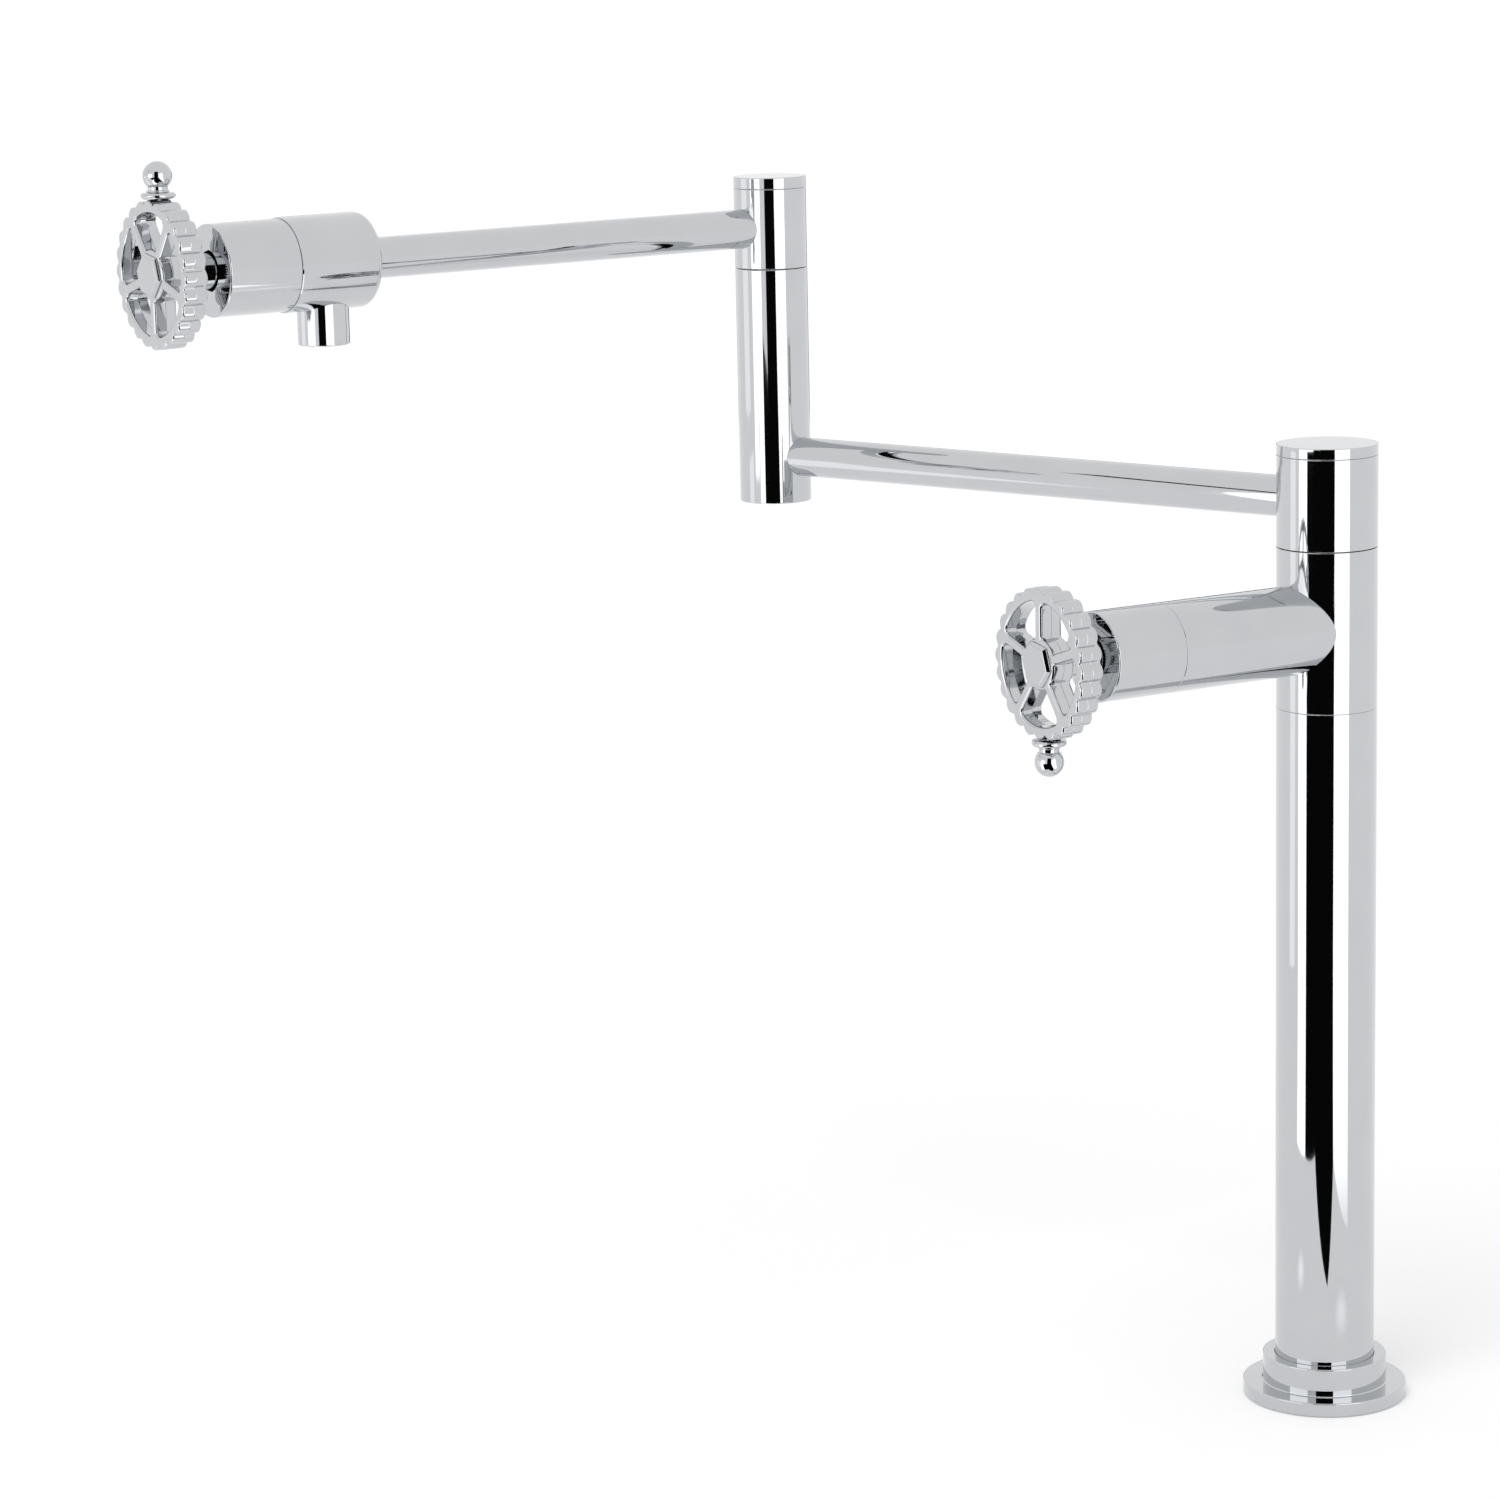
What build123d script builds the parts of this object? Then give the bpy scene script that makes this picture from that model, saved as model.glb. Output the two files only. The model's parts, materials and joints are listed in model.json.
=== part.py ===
# Deck mount pot filler: a fixed column, two level swivel arms and two quarter-turn wheel valves.
# Millimetres, +Z up. The origin is on the column's axis, on the surface of the deck.
import os
from math import cos, hypot, radians, sin

from build123d import *

os.makedirs("parts", exist_ok=True)

# Fits and edges
fit_gap = 0.05  # radial play of a running or sliding fit
loose_gap = 0.3  # radial play of a washer or nut on the shank
swivel_gap = 0.3  # open seam between a swivel housing and what it turns on
seam_bevel = 0.25  # bevel on each side of a closed seam
edge_bevel = 0.5  # bevel on an open outer edge
edge_tolerance = 0.01  # how exactly an edge is found by its size and height

# Base and column
column_diameter = 40.0
column_wall = 2.0
column_top = 285.0  # height of the joint between the column tube and the tee
flange_diameter = 66.0
flange_thickness = 5.6
ring_diameter = 50.0
ring_height = 11.5  # the raised ring that the column tube stands in
gasket_diameter = 52.0  # mean diameter of the gasket under the flange
gasket_width = 7.0
gasket_depth = 2.5
base_plug_height = 16.0

# Shank and clamp under the deck
shank_diameter = 28.0
water_bore = 12.0
deck_gap = 30.0  # from the flange's underside to the rubber washer
rubber_washer_diameter = 48.0
rubber_washer_thickness = 3.0
steel_washer_diameter = 50.0
steel_washer_thickness = 2.0
locknut_flats = 38.0
locknut_height = 10.0
shank_tail = 16.0  # spare thread below the locknut
inlet_diameter = 20.95
inlet_length = 14.0

# Inner supply pipe
riser_diameter = 14.0
riser_wall = 1.0
riser_socket_depth = 18.0
riser_end_play = 0.5
riser_seal_depth = 5.0  # from a socket's mouth to its O-ring

# O-rings
o_ring_section = 1.6
o_ring_side_play = 0.3
o_ring_skin = 0.03  # between an O-ring and the wall that it seals on

# Tee and lower valve
tee_height = 64.2
tee_spigot_length = 14.0
valve_direction = 211.0  # degrees about +Z, from +X
branch_diameter = 35.4
branch_length = 81.3  # column axis to the sleeve's seam
return_bore = 6.4  # water way from the lower valve back to the column
return_offset = 12.6  # that water way's height over the valve's axis
lower_sleeve_diameter = 35.4

# Swivel on the column
head_height = 36.2
head_cap_height = 4.4
main_spigot_diameter = 22.0
main_thread_diameter = 19.8
main_thread_length = 11.0
main_bore = 12.0
main_washer_diameter = 34.0
main_cross_bore = 7.0

# Arms
arm_diameter = 16.4
arm_wall = 1.6
lower_arm_length = 275.5  # column axis to middle post axis
lower_arm_direction = 141.5  # degrees about +Z, from +X, at rest
upper_arm_direction = -145.4
spout_reach = 219.5  # middle post axis to nozzle axis
arm_socket_depth = 5.6  # how deep an arm sits in a swivel housing
head_channel_depth = 2.2  # depth of the ring channel that feeds an arm
channel_margin = 0.4  # how far that channel reaches over and under the arm's bore
bore_runout = 1.0  # how far a bore runs past the one that it meets

# Middle post and its swivel
post_diameter = 30.6
post_height = 100.0
post_drop = 19.4  # from the lower arm's axis to the foot of the post
post_bore = 14.0
knuckle_height = 33.6
knuckle_cap_height = 4.9
middle_spigot_diameter = 17.0
middle_thread_diameter = 15.4
middle_thread_length = 9.0
middle_bore = 9.0
middle_washer_diameter = 26.0
middle_cross_bore = 6.0
knuckle_socket_depth = 3.6
knuckle_channel_depth = 1.8

# Parts that both swivels share
thrust_washer_thickness = 1.6
retaining_ring_thickness = 1.2
retaining_ring_width = 3.4
retaining_groove_depth = 1.3
retaining_ring_gap = 5.0
ring_play = 0.1  # a retaining ring's height over its housing's floor
spigot_head = 1.9  # what stands above the retaining ring's groove
cap_pocket_depth = 6.6
cap_plug_depth = 2.6
cap_wall = 4.0  # housing wall round the cap's plug

# Spout
spout_diameter = 38.1
spout_length = 37.0
spout_round = 3.0
spout_socket_depth = 6.0
upper_sleeve_diameter = 36.9
nozzle_diameter = 20.8
nozzle_mouth_drop = 32.8  # from the valve's axis down to the nozzle's mouth
nozzle_seat_drop = 12.9  # from the valve's axis down to the nozzle's inner end
nozzle_bore = 17.4
nozzle_throat = 13.0
straightener_height = 9.0
straightener_recess = 1.5
straightener_hole = 1.8
straightener_pitch = 2.8
nozzle_washer_thickness = 2.0

# Valve cartridge, the same in both valves. Depths run along the valve's axis from the sleeve's seam.
sleeve_length = 32.0
sleeve_wall = 2.2
sleeve_end_wall = 2.2
sleeve_hole = 16.0
sleeve_bevel = 0.7
sleeve_spigot_diameter = 30.9
sleeve_spigot_length = 5.0
seat_depth = 24.0  # behind the seam
chamber_diameter = 20.5
seal_thickness = 2.0
seal_bore = 9.2
disc_diameter = 15.8
disc_thickness = 2.5
disc_gap = 0.1
bonnet_gasket_thickness = 1.0
bonnet_hex_flats = 22.0
bonnet_hex_height = 5.0
bonnet_neck_diameter = 14.0
bonnet_neck_end = 24.0  # ahead of the seam
bonnet_barrel_diameter = 19.2
bonnet_barrel_end = 9.0  # behind the seam
barrel_inner = 16.0
undercut_diameter = 25.0  # widened ring of the chamber round the cartridge's windows
undercut_length = 9.0
window_width = 9.0
window_length = 6.0
sector_angle = 78.0  # each of a disc's two openings
sector_inner = 5.0
sector_outer = 13.6
drive_key_width = 3.0
drive_key_length = 8.0
drive_key_depth = 1.0
stem_diameter = 9.0
stem_head_diameter = 12.0
stem_head_thickness = 2.4
stem_seal_height = 3.0  # ahead of the seam
clip_thickness = 1.0
clip_width = 2.6
clip_groove_depth = 0.9

# Wheel handle
wheel_offset = 52.7  # sleeve's seam to the wheel's middle plane
wheel_diameter = 59.0
wheel_thickness = 10.0
wheel_bevel = 0.6
lobe_count = 24
lobe_depth = 1.7
lobe_share = 0.6  # part of each pitch that is lobe, the rest is groove
rim_inner_diameter = 48.2
hub_diameter = 20.6
spoke_count = 5
spoke_width = 4.4
window_outer_round = 2.2
window_inner_round = 0.9
boss_diameter = 14.2
boss_entry = 4.5  # how far the boss reaches into the sleeve
spline_teeth = 20
spline_diameter = 8.2
spline_depth = 0.5
spline_gap = 0.1  # radial play of the splined hole
spline_lead = 1.0  # spline that shows behind the boss
hub_web = 2.0
pocket_depth = 5.3
pocket_diameter = 9.4
screw_diameter = 3.8
screw_length = 12.0
screw_hole_spare = 1.2
screw_head_diameter = 6.8
screw_head_height = 2.4
screw_socket_flats = 2.5
screw_socket_depth = 1.4
hex_cap_width = 18.6  # corner to corner
hex_cap_height = 1.8
hex_cap_turn = -10.0  # degrees, the place of its first corner
hex_cap_plug = 2.2

# Finial on the rim
finial_stud_diameter = 3.0
finial_stud_length = 3.2
finial_collar_diameter = 13.6
finial_collar_height = 2.5
finial_ring_diameter = 9.0
finial_ring_height = 0.9
finial_waist_diameter = 7.9
finial_ball_diameter = 11.5
finial_reach = 38.4  # wheel's axis to the ball's centre


def polar(radius, angle):
    return (radius * cos(radians(angle)), radius * sin(radians(angle)))


def level_axis(direction, height, x=0, y=0):
    # A plane square to a level axis: its normal points outwards and its Y is up
    outwards = (*polar(1, direction), 0)
    sideways = (*polar(1, direction + 90), 0)
    return Plane((x, y, height), x_dir=sideways, z_dir=outwards)


def side_of(plane):
    # The plane through another plane's normal: X is the radius, Y runs along the normal
    return Plane(plane.origin, x_dir=plane.x_dir, z_dir=-plane.y_dir)


def turned(plane, outline, mode=Mode.ADD):
    # A turned shape about a plane's normal, from (radius, height) corners
    with BuildSketch(side_of(plane)) as profile:
        with BuildLine():
            Polyline(*outline, close=True)
        make_face()
    revolve(profile.sketch, axis=Axis(plane.origin, plane.z_dir), mode=mode)


def ring(plane, outer, inner, start, end, mode=Mode.ADD):
    # A tube between two heights over a plane, given by its diameters
    with BuildSketch(plane.offset(start)) as profile:
        Circle(outer / 2)
        if inner > 0:
            Circle(inner / 2, mode=Mode.SUBTRACT)
    extrude(profile.sketch, amount=end - start, mode=mode)


def bored(plane, diameter, start, end):
    # A round hole between two heights over a plane
    ring(plane, diameter, 0, start, end, mode=Mode.SUBTRACT)


def circles_at(builder, plane, diameter, height):
    # The round edges of one diameter that lie at one height over a plane
    level = plane.offset(height)
    circles = builder.edges().filter_by(GeomType.CIRCLE)
    same_size = circles.filter_by(lambda edge: abs(edge.radius - diameter / 2) < edge_tolerance)
    return same_size.filter_by(lambda edge: abs(level.to_local_coords(edge.arc_center).Z) < edge_tolerance)


def write(builder, node):
    builder.part.label = node
    export_step(builder.part, f"parts/{node}.step")


# Heights on the column
ring_top = flange_thickness + ring_height
column_inner = column_diameter - 2 * column_wall
shank_top = flange_thickness + base_plug_height
tee_top = column_top + tee_height
head_bottom = tee_top + swivel_gap
head_top = head_bottom + head_height
lower_arm_level = head_bottom + head_height / 2
valve_level = column_top + tee_height / 2

# Heights on the middle post
post_bottom = lower_arm_level - post_drop
post_top = post_bottom + post_height
knuckle_bottom = post_top + swivel_gap
knuckle_top = knuckle_bottom + knuckle_height
upper_arm_level = knuckle_bottom + knuckle_height / 2

# Heights under the deck
rubber_bottom = -deck_gap - rubber_washer_thickness
steel_bottom = rubber_bottom - steel_washer_thickness
locknut_bottom = steel_bottom - locknut_height
shank_bottom = locknut_bottom - shank_tail
inlet_bottom = shank_bottom - inlet_length

# Water way of the arms
arm_bore = arm_diameter - 2 * arm_wall
channel_half = arm_bore / 2 + channel_margin
post_face = lower_arm_length - post_diameter / 2

# Planes that the pieces are made on
deck = Plane.XY
post_x, post_y = polar(lower_arm_length, lower_arm_direction)
post_axis = Plane((post_x, post_y, 0))
lower_arm_axis = level_axis(lower_arm_direction, lower_arm_level)
upper_arm_axis = level_axis(upper_arm_direction, upper_arm_level, post_x, post_y)
lower_valve = level_axis(valve_direction, valve_level).offset(branch_length)
spout_start = spout_reach - spout_length / 2
spout_end = spout_reach + spout_length / 2
upper_valve = upper_arm_axis.offset(spout_end)
nozzle_axis = Plane(upper_arm_axis.offset(spout_reach).origin)

# Depths in a valve
bonnet_seat = sleeve_spigot_length + bonnet_gasket_thickness
fixed_disc_front = -seat_depth + seal_thickness + disc_thickness
moving_disc_back = fixed_disc_front + disc_gap
moving_disc_front = moving_disc_back + disc_thickness
stem_head_front = moving_disc_front + stem_head_thickness
sleeve_inner = sleeve_spigot_diameter + 2 * fit_gap
wheel_back = wheel_offset - wheel_thickness / 2
wheel_front = wheel_offset + wheel_thickness / 2
pocket_floor = wheel_front - pocket_depth
boss_back = sleeve_length - boss_entry
stem_bore_end = pocket_floor - hub_web
stem_end = stem_bore_end - disc_gap
spline_start = boss_back - spline_lead


# Base

with BuildPart() as base_flange:
    ring(deck, flange_diameter, 0, 0, flange_thickness)
    ring(deck, ring_diameter, 0, flange_thickness, ring_top)
    bored(deck, column_diameter + 2 * fit_gap, flange_thickness, ring_top)
    bored(deck, shank_diameter + 2 * loose_gap, 0, flange_thickness)
    groove_outer = gasket_diameter + gasket_width
    groove_inner = gasket_diameter - gasket_width
    ring(deck, groove_outer, groove_inner, 0, gasket_depth, mode=Mode.SUBTRACT)
    chamfer(circles_at(base_flange, deck, flange_diameter, flange_thickness), edge_bevel)
    chamfer(circles_at(base_flange, deck, ring_diameter, ring_top), edge_bevel)
write(base_flange, "base_flange")

with BuildPart() as flange_gasket:
    ring(deck, groove_outer - 2 * loose_gap, groove_inner + 2 * loose_gap, 0, gasket_depth)
write(flange_gasket, "flange_gasket")

with BuildPart() as column_tube:
    ring(deck, column_diameter, column_inner, flange_thickness, column_top)
    chamfer(circles_at(column_tube, deck, column_diameter, column_top), seam_bevel)
write(column_tube, "column_tube")

with BuildPart() as column_base_plug:
    plug_bore = shank_diameter + 2 * fit_gap
    ring(deck, column_inner - 2 * fit_gap, plug_bore, flange_thickness, shank_top)
write(column_base_plug, "column_base_plug")


def seal_groove(plane, sealed_diameter, height):
    # Cuts the groove of an O-ring that seals on the outside of a pipe
    half = o_ring_section / 2 + o_ring_side_play
    floor = sealed_diameter + 2 * (o_ring_section + o_ring_side_play)
    ring(plane, floor, 0, height - half, height + half, mode=Mode.SUBTRACT)


def shaft_groove(plane, shaft_diameter, height):
    # Cuts the groove of an O-ring that a shaft carries
    half = o_ring_section / 2 + o_ring_side_play
    floor = shaft_diameter - 2 * o_ring_section
    ring(plane, shaft_diameter + bore_runout, floor, height - half, height + half, mode=Mode.SUBTRACT)


def o_ring(plane, mean_diameter, height):
    with Locations(plane.offset(height)):
        Torus(mean_diameter / 2, o_ring_section / 2)


riser_socket = riser_diameter + 2 * fit_gap
riser_bottom = shank_top - riser_socket_depth
riser_ceiling = column_top - tee_spigot_length + riser_socket_depth
lower_riser_seal = shank_top - riser_seal_depth
upper_riser_seal = column_top - tee_spigot_length + riser_seal_depth

with BuildPart() as mounting_shank:
    ring(deck, shank_diameter, 0, shank_bottom, shank_top)
    ring(deck, inlet_diameter, 0, inlet_bottom, shank_bottom)
    bored(deck, water_bore, inlet_bottom, shank_top)
    bored(deck, riser_socket, riser_bottom, shank_top)
    seal_groove(deck, riser_diameter, lower_riser_seal)
    chamfer(circles_at(mounting_shank, deck, shank_diameter, shank_bottom), 2 * edge_bevel)
    chamfer(circles_at(mounting_shank, deck, inlet_diameter, inlet_bottom), 2 * edge_bevel)
write(mounting_shank, "mounting_shank")

with BuildPart() as rubber_clamp_washer:
    washer_bore = shank_diameter + 2 * loose_gap
    ring(deck, rubber_washer_diameter, washer_bore, rubber_bottom, -deck_gap)
write(rubber_clamp_washer, "rubber_clamp_washer")

with BuildPart() as steel_clamp_washer:
    ring(deck, steel_washer_diameter, washer_bore, steel_bottom, rubber_bottom)
write(steel_clamp_washer, "steel_clamp_washer")

with BuildPart() as deck_locknut:
    with BuildSketch(deck.offset(locknut_bottom)):
        RegularPolygon(locknut_flats / 2, 6, major_radius=False)
        Circle(shank_diameter / 2 + fit_gap, mode=Mode.SUBTRACT)
    extrude(amount=locknut_height)
    # The nut's corners are turned off at both faces
    corner_radius = locknut_flats / 2 / cos(radians(30))
    corner_drop = corner_radius - locknut_flats / 2
    turned(
        deck.offset(locknut_bottom),
        [
            (0, 0),
            (locknut_flats / 2, 0),
            (corner_radius, corner_drop / 2),
            (corner_radius, locknut_height - corner_drop / 2),
            (locknut_flats / 2, locknut_height),
            (0, locknut_height),
        ],
        mode=Mode.INTERSECT,
    )
write(deck_locknut, "deck_locknut")

with BuildPart() as supply_riser:
    riser_bore = riser_diameter - 2 * riser_wall
    ring(deck, riser_diameter, riser_bore, riser_bottom, riser_ceiling - riser_end_play)
write(supply_riser, "supply_riser")

with BuildPart() as riser_o_rings:
    riser_ring = riser_diameter + o_ring_section + 2 * o_ring_skin
    o_ring(deck, riser_ring, lower_riser_seal)
    o_ring(deck, riser_ring, upper_riser_seal)
write(riser_o_rings, "riser_o_rings")


# Valve body on the column

def cut_cartridge_chamber(valve):
    # The tapped chamber that a cartridge screws into, open at the sleeve's spigot
    bored(valve, chamber_diameter, -seat_depth, sleeve_spigot_length)
    bored(valve, undercut_diameter, -bonnet_barrel_end - undercut_length, -bonnet_barrel_end)


with BuildPart() as tee_body:
    ring(deck, column_diameter, 0, column_top, tee_top)
    ring(deck, column_inner - 2 * fit_gap, 0, column_top - tee_spigot_length, column_top)
    ring(lower_valve, branch_diameter, 0, -branch_length, 0)
    ring(lower_valve, sleeve_spigot_diameter, 0, 0, sleeve_spigot_length)
    chamfer(circles_at(tee_body, deck, column_diameter, column_top), seam_bevel)
    chamfer(circles_at(tee_body, deck, column_diameter, tee_top), seam_bevel)
    chamfer(circles_at(tee_body, lower_valve, branch_diameter, 0), seam_bevel)
    # Supply side: up from the riser, then along the valve's axis to the seat
    bored(deck, riser_socket, column_top - tee_spigot_length, riser_ceiling)
    seal_groove(deck, riser_diameter, upper_riser_seal)
    bored(deck, water_bore, riser_ceiling, valve_level + seal_bore / 2 + bore_runout)
    bored(lower_valve, seal_bore, -branch_length, -seat_depth)
    cut_cartridge_chamber(lower_valve)
    # Delivery side: back over the valve's axis, then up through the swivel
    return_axis = level_axis(valve_direction, valve_level + return_offset)
    bored(return_axis, return_bore, 0, branch_length - bonnet_barrel_end - undercut_length / 2)
    bored(deck, water_bore, valve_level + return_offset - return_bore / 2 - bore_runout, tee_top)
    bored(deck, main_thread_diameter + 2 * fit_gap, tee_top - main_thread_length, tee_top)
write(tee_body, "tee_body")


# Swivels. Each is a hollow spigot with a housing that turns on it.

def swivel_seals(base, top, arm_level):
    # Heights of the O-rings under and over a swivel's ring channel
    lower_seal = (base + thrust_washer_thickness + arm_level - channel_half) / 2
    upper_seal = (top - cap_pocket_depth + arm_level + channel_half) / 2
    return lower_seal, upper_seal


def swivel_spigot(plane, base, top, arm_level, diameter, thread, thread_length, bore, cross_bore):
    groove_bottom = top - cap_pocket_depth + ring_play
    groove_top = groove_bottom + retaining_ring_thickness
    spigot_top = groove_top + spigot_head
    with BuildPart() as spigot:
        ring(plane, thread, 0, base - thread_length, base)
        ring(plane, diameter, 0, base, spigot_top)
        chamfer(circles_at(spigot, plane, diameter, spigot_top), edge_bevel)
        bored(plane, bore, base - thread_length, arm_level + cross_bore / 2 + bore_runout)
        for quarter in (0, 90):
            cross = level_axis(quarter, arm_level, plane.origin.X, plane.origin.Y)
            bored(cross, cross_bore, -diameter, diameter)
        for height in swivel_seals(base, top, arm_level):
            shaft_groove(plane, diameter, height)
        groove_floor = diameter - 2 * retaining_groove_depth
        ring(plane, diameter + bore_runout, groove_floor, groove_bottom, groove_top, mode=Mode.SUBTRACT)
    return spigot


def swivel_o_rings(plane, base, top, arm_level, diameter):
    mean = diameter + 2 * o_ring_skin - o_ring_section
    with BuildPart() as rings:
        for height in swivel_seals(base, top, arm_level):
            o_ring(plane, mean, height)
    return rings


def spring_clip(plane, groove, width, bottom, thickness, opening):
    # An open spring ring for a groove of the given diameter
    inner = groove + 2 * fit_gap
    outer = inner + 2 * width
    with BuildPart() as clip:
        with BuildSketch(plane.offset(bottom)):
            Circle(outer / 2)
            Circle(inner / 2, mode=Mode.SUBTRACT)
            Rectangle(outer, opening, align=(Align.MIN, Align.CENTER), mode=Mode.SUBTRACT)
        extrude(amount=thickness)
    return clip


def retaining_ring(plane, top, diameter):
    # Holds a housing down on its spigot, just over the floor of the housing's pocket
    bottom = top - cap_pocket_depth + ring_play
    groove = diameter - 2 * retaining_groove_depth
    thickness = retaining_ring_thickness - fit_gap
    return spring_clip(plane, groove, retaining_ring_width, bottom, thickness, retaining_ring_gap)


def swivel_housing(plane, size, base, top, arm_level, spigot, washer, channel, arm, socket_depth):
    # A round housing with its running bore, ring channel, washer recess, cap pocket and arm socket
    bottom = base + swivel_gap
    washer_top = base + thrust_washer_thickness
    running_bore = spigot + 2 * fit_gap
    with BuildPart() as housing:
        ring(plane, size, 0, bottom, top)
        chamfer(circles_at(housing, plane, size, bottom), seam_bevel)
        chamfer(circles_at(housing, plane, size, top), seam_bevel)
        bored(plane, running_bore, bottom, top)
        bored(plane, washer + 2 * loose_gap, bottom, washer_top + fit_gap)
        bored(plane, running_bore + 2 * channel, arm_level - channel_half, arm_level + channel_half)
        bored(plane, size - 2 * cap_wall, top - cap_pocket_depth, top)
        bored(arm, arm_bore, 0, size / 2)
        bored(arm, arm_diameter + 2 * fit_gap, size / 2 - socket_depth, size)
    return housing


def swivel_cap(plane, size, top, height):
    plug = size - 2 * cap_wall - 2 * fit_gap
    with BuildPart() as cap:
        ring(plane, size, 0, top, top + height)
        ring(plane, plug, plug - 2 * cap_wall, top - cap_plug_depth, top)
        chamfer(circles_at(cap, plane, size, top), seam_bevel)
        chamfer(circles_at(cap, plane, size, top + height), edge_bevel)
    return cap


def thrust_washer(plane, base, outer, spigot):
    with BuildPart() as washer:
        ring(plane, outer, spigot + 2 * loose_gap, base, base + thrust_washer_thickness)
    return washer


main_swivel_spigot = swivel_spigot(
    deck, tee_top, head_top, lower_arm_level,
    main_spigot_diameter, main_thread_diameter, main_thread_length, main_bore, main_cross_bore,
)
write(main_swivel_spigot, "main_swivel_spigot")
main_swivel_o_rings = swivel_o_rings(deck, tee_top, head_top, lower_arm_level, main_spigot_diameter)
write(main_swivel_o_rings, "main_swivel_o_rings")
main_thrust_washer = thrust_washer(deck, tee_top, main_washer_diameter, main_spigot_diameter)
write(main_thrust_washer, "main_thrust_washer")
main_retaining_ring = retaining_ring(deck, head_top, main_spigot_diameter)
write(main_retaining_ring, "main_retaining_ring")

swivel_head = swivel_housing(
    deck, column_diameter, tee_top, head_top, lower_arm_level,
    main_spigot_diameter, main_washer_diameter, head_channel_depth, lower_arm_axis, arm_socket_depth,
)
write(swivel_head, "swivel_head")
swivel_head_cap = swivel_cap(deck, column_diameter, head_top, head_cap_height)
write(swivel_head_cap, "swivel_head_cap")

middle_swivel_spigot = swivel_spigot(
    post_axis, post_top, knuckle_top, upper_arm_level,
    middle_spigot_diameter, middle_thread_diameter, middle_thread_length, middle_bore, middle_cross_bore,
)
write(middle_swivel_spigot, "middle_swivel_spigot")
middle_swivel_o_rings = swivel_o_rings(
    post_axis, post_top, knuckle_top, upper_arm_level, middle_spigot_diameter,
)
write(middle_swivel_o_rings, "middle_swivel_o_rings")
middle_thrust_washer = thrust_washer(post_axis, post_top, middle_washer_diameter, middle_spigot_diameter)
write(middle_thrust_washer, "middle_thrust_washer")
middle_retaining_ring = retaining_ring(post_axis, knuckle_top, middle_spigot_diameter)
write(middle_retaining_ring, "middle_retaining_ring")

knuckle = swivel_housing(
    post_axis, post_diameter, post_top, knuckle_top, upper_arm_level,
    middle_spigot_diameter, middle_washer_diameter, knuckle_channel_depth, upper_arm_axis,
    knuckle_socket_depth,
)
write(knuckle, "knuckle")
knuckle_cap = swivel_cap(post_axis, post_diameter, knuckle_top, knuckle_cap_height)
write(knuckle_cap, "knuckle_cap")


# Arms and middle post

with BuildPart() as lower_arm_tube:
    ring(
        lower_arm_axis, arm_diameter, arm_bore,
        column_diameter / 2 - arm_socket_depth, post_face + knuckle_socket_depth,
    )
write(lower_arm_tube, "lower_arm_tube")

with BuildPart() as middle_post:
    ring(post_axis, post_diameter, 0, post_bottom, post_top)
    chamfer(circles_at(middle_post, post_axis, post_diameter, post_bottom), edge_bevel)
    chamfer(circles_at(middle_post, post_axis, post_diameter, post_top), seam_bevel)
    bored(post_axis, post_bore, lower_arm_level - arm_bore / 2 - bore_runout, post_top)
    bored(post_axis, middle_thread_diameter + 2 * fit_gap, post_top - middle_thread_length, post_top)
    socket_end = post_face + knuckle_socket_depth
    bored(lower_arm_axis, arm_diameter + 2 * fit_gap, post_face - arm_diameter, socket_end)
    bored(lower_arm_axis, arm_bore, post_face, lower_arm_length)
write(middle_post, "middle_post")

with BuildPart() as upper_arm_tube:
    ring(
        upper_arm_axis, arm_diameter, arm_bore,
        post_diameter / 2 - knuckle_socket_depth, spout_start + spout_socket_depth,
    )
write(upper_arm_tube, "upper_arm_tube")


# Spout

with BuildPart() as spout_body:
    ring(upper_arm_axis, spout_diameter, 0, spout_start, spout_end)
    ring(upper_valve, sleeve_spigot_diameter, 0, 0, sleeve_spigot_length)
    fillet(circles_at(spout_body, upper_arm_axis, spout_diameter, spout_start), spout_round)
    chamfer(circles_at(spout_body, upper_valve, spout_diameter, 0), seam_bevel)
    bored(upper_arm_axis, arm_diameter + 2 * fit_gap, spout_start, spout_start + spout_socket_depth)
    bored(upper_arm_axis, seal_bore, spout_start, spout_end - seat_depth)
    cut_cartridge_chamber(upper_valve)
    bored(nozzle_axis, nozzle_diameter + 2 * fit_gap, -spout_diameter, -nozzle_seat_drop)
    bored(nozzle_axis, nozzle_throat, -nozzle_seat_drop, 0)
write(spout_body, "spout_body")

straightener_bottom = -nozzle_mouth_drop + straightener_recess
straightener_top = straightener_bottom + straightener_height
nozzle_step = straightener_top + nozzle_washer_thickness

with BuildPart() as spout_nozzle:
    ring(nozzle_axis, nozzle_diameter, 0, -nozzle_mouth_drop, -nozzle_seat_drop)
    bored(nozzle_axis, nozzle_throat, -nozzle_mouth_drop, -nozzle_seat_drop)
    bored(nozzle_axis, nozzle_bore, -nozzle_mouth_drop, nozzle_step)
    chamfer(circles_at(spout_nozzle, nozzle_axis, nozzle_diameter, -nozzle_mouth_drop), edge_bevel)
write(spout_nozzle, "spout_nozzle")

with BuildPart() as stream_straightener:
    with BuildSketch(nozzle_axis.offset(straightener_bottom)):
        Circle(nozzle_bore / 2 - fit_gap)
        with HexLocations(straightener_pitch / 2, 5, 5):
            Circle(straightener_hole / 2, mode=Mode.SUBTRACT)
    extrude(amount=straightener_height)
write(stream_straightener, "stream_straightener")

with BuildPart() as straightener_washer:
    ring(nozzle_axis, nozzle_bore - 2 * fit_gap, nozzle_throat, straightener_top, nozzle_step)
write(straightener_washer, "straightener_washer")


# Valves and handles, made once for each valve

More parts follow.
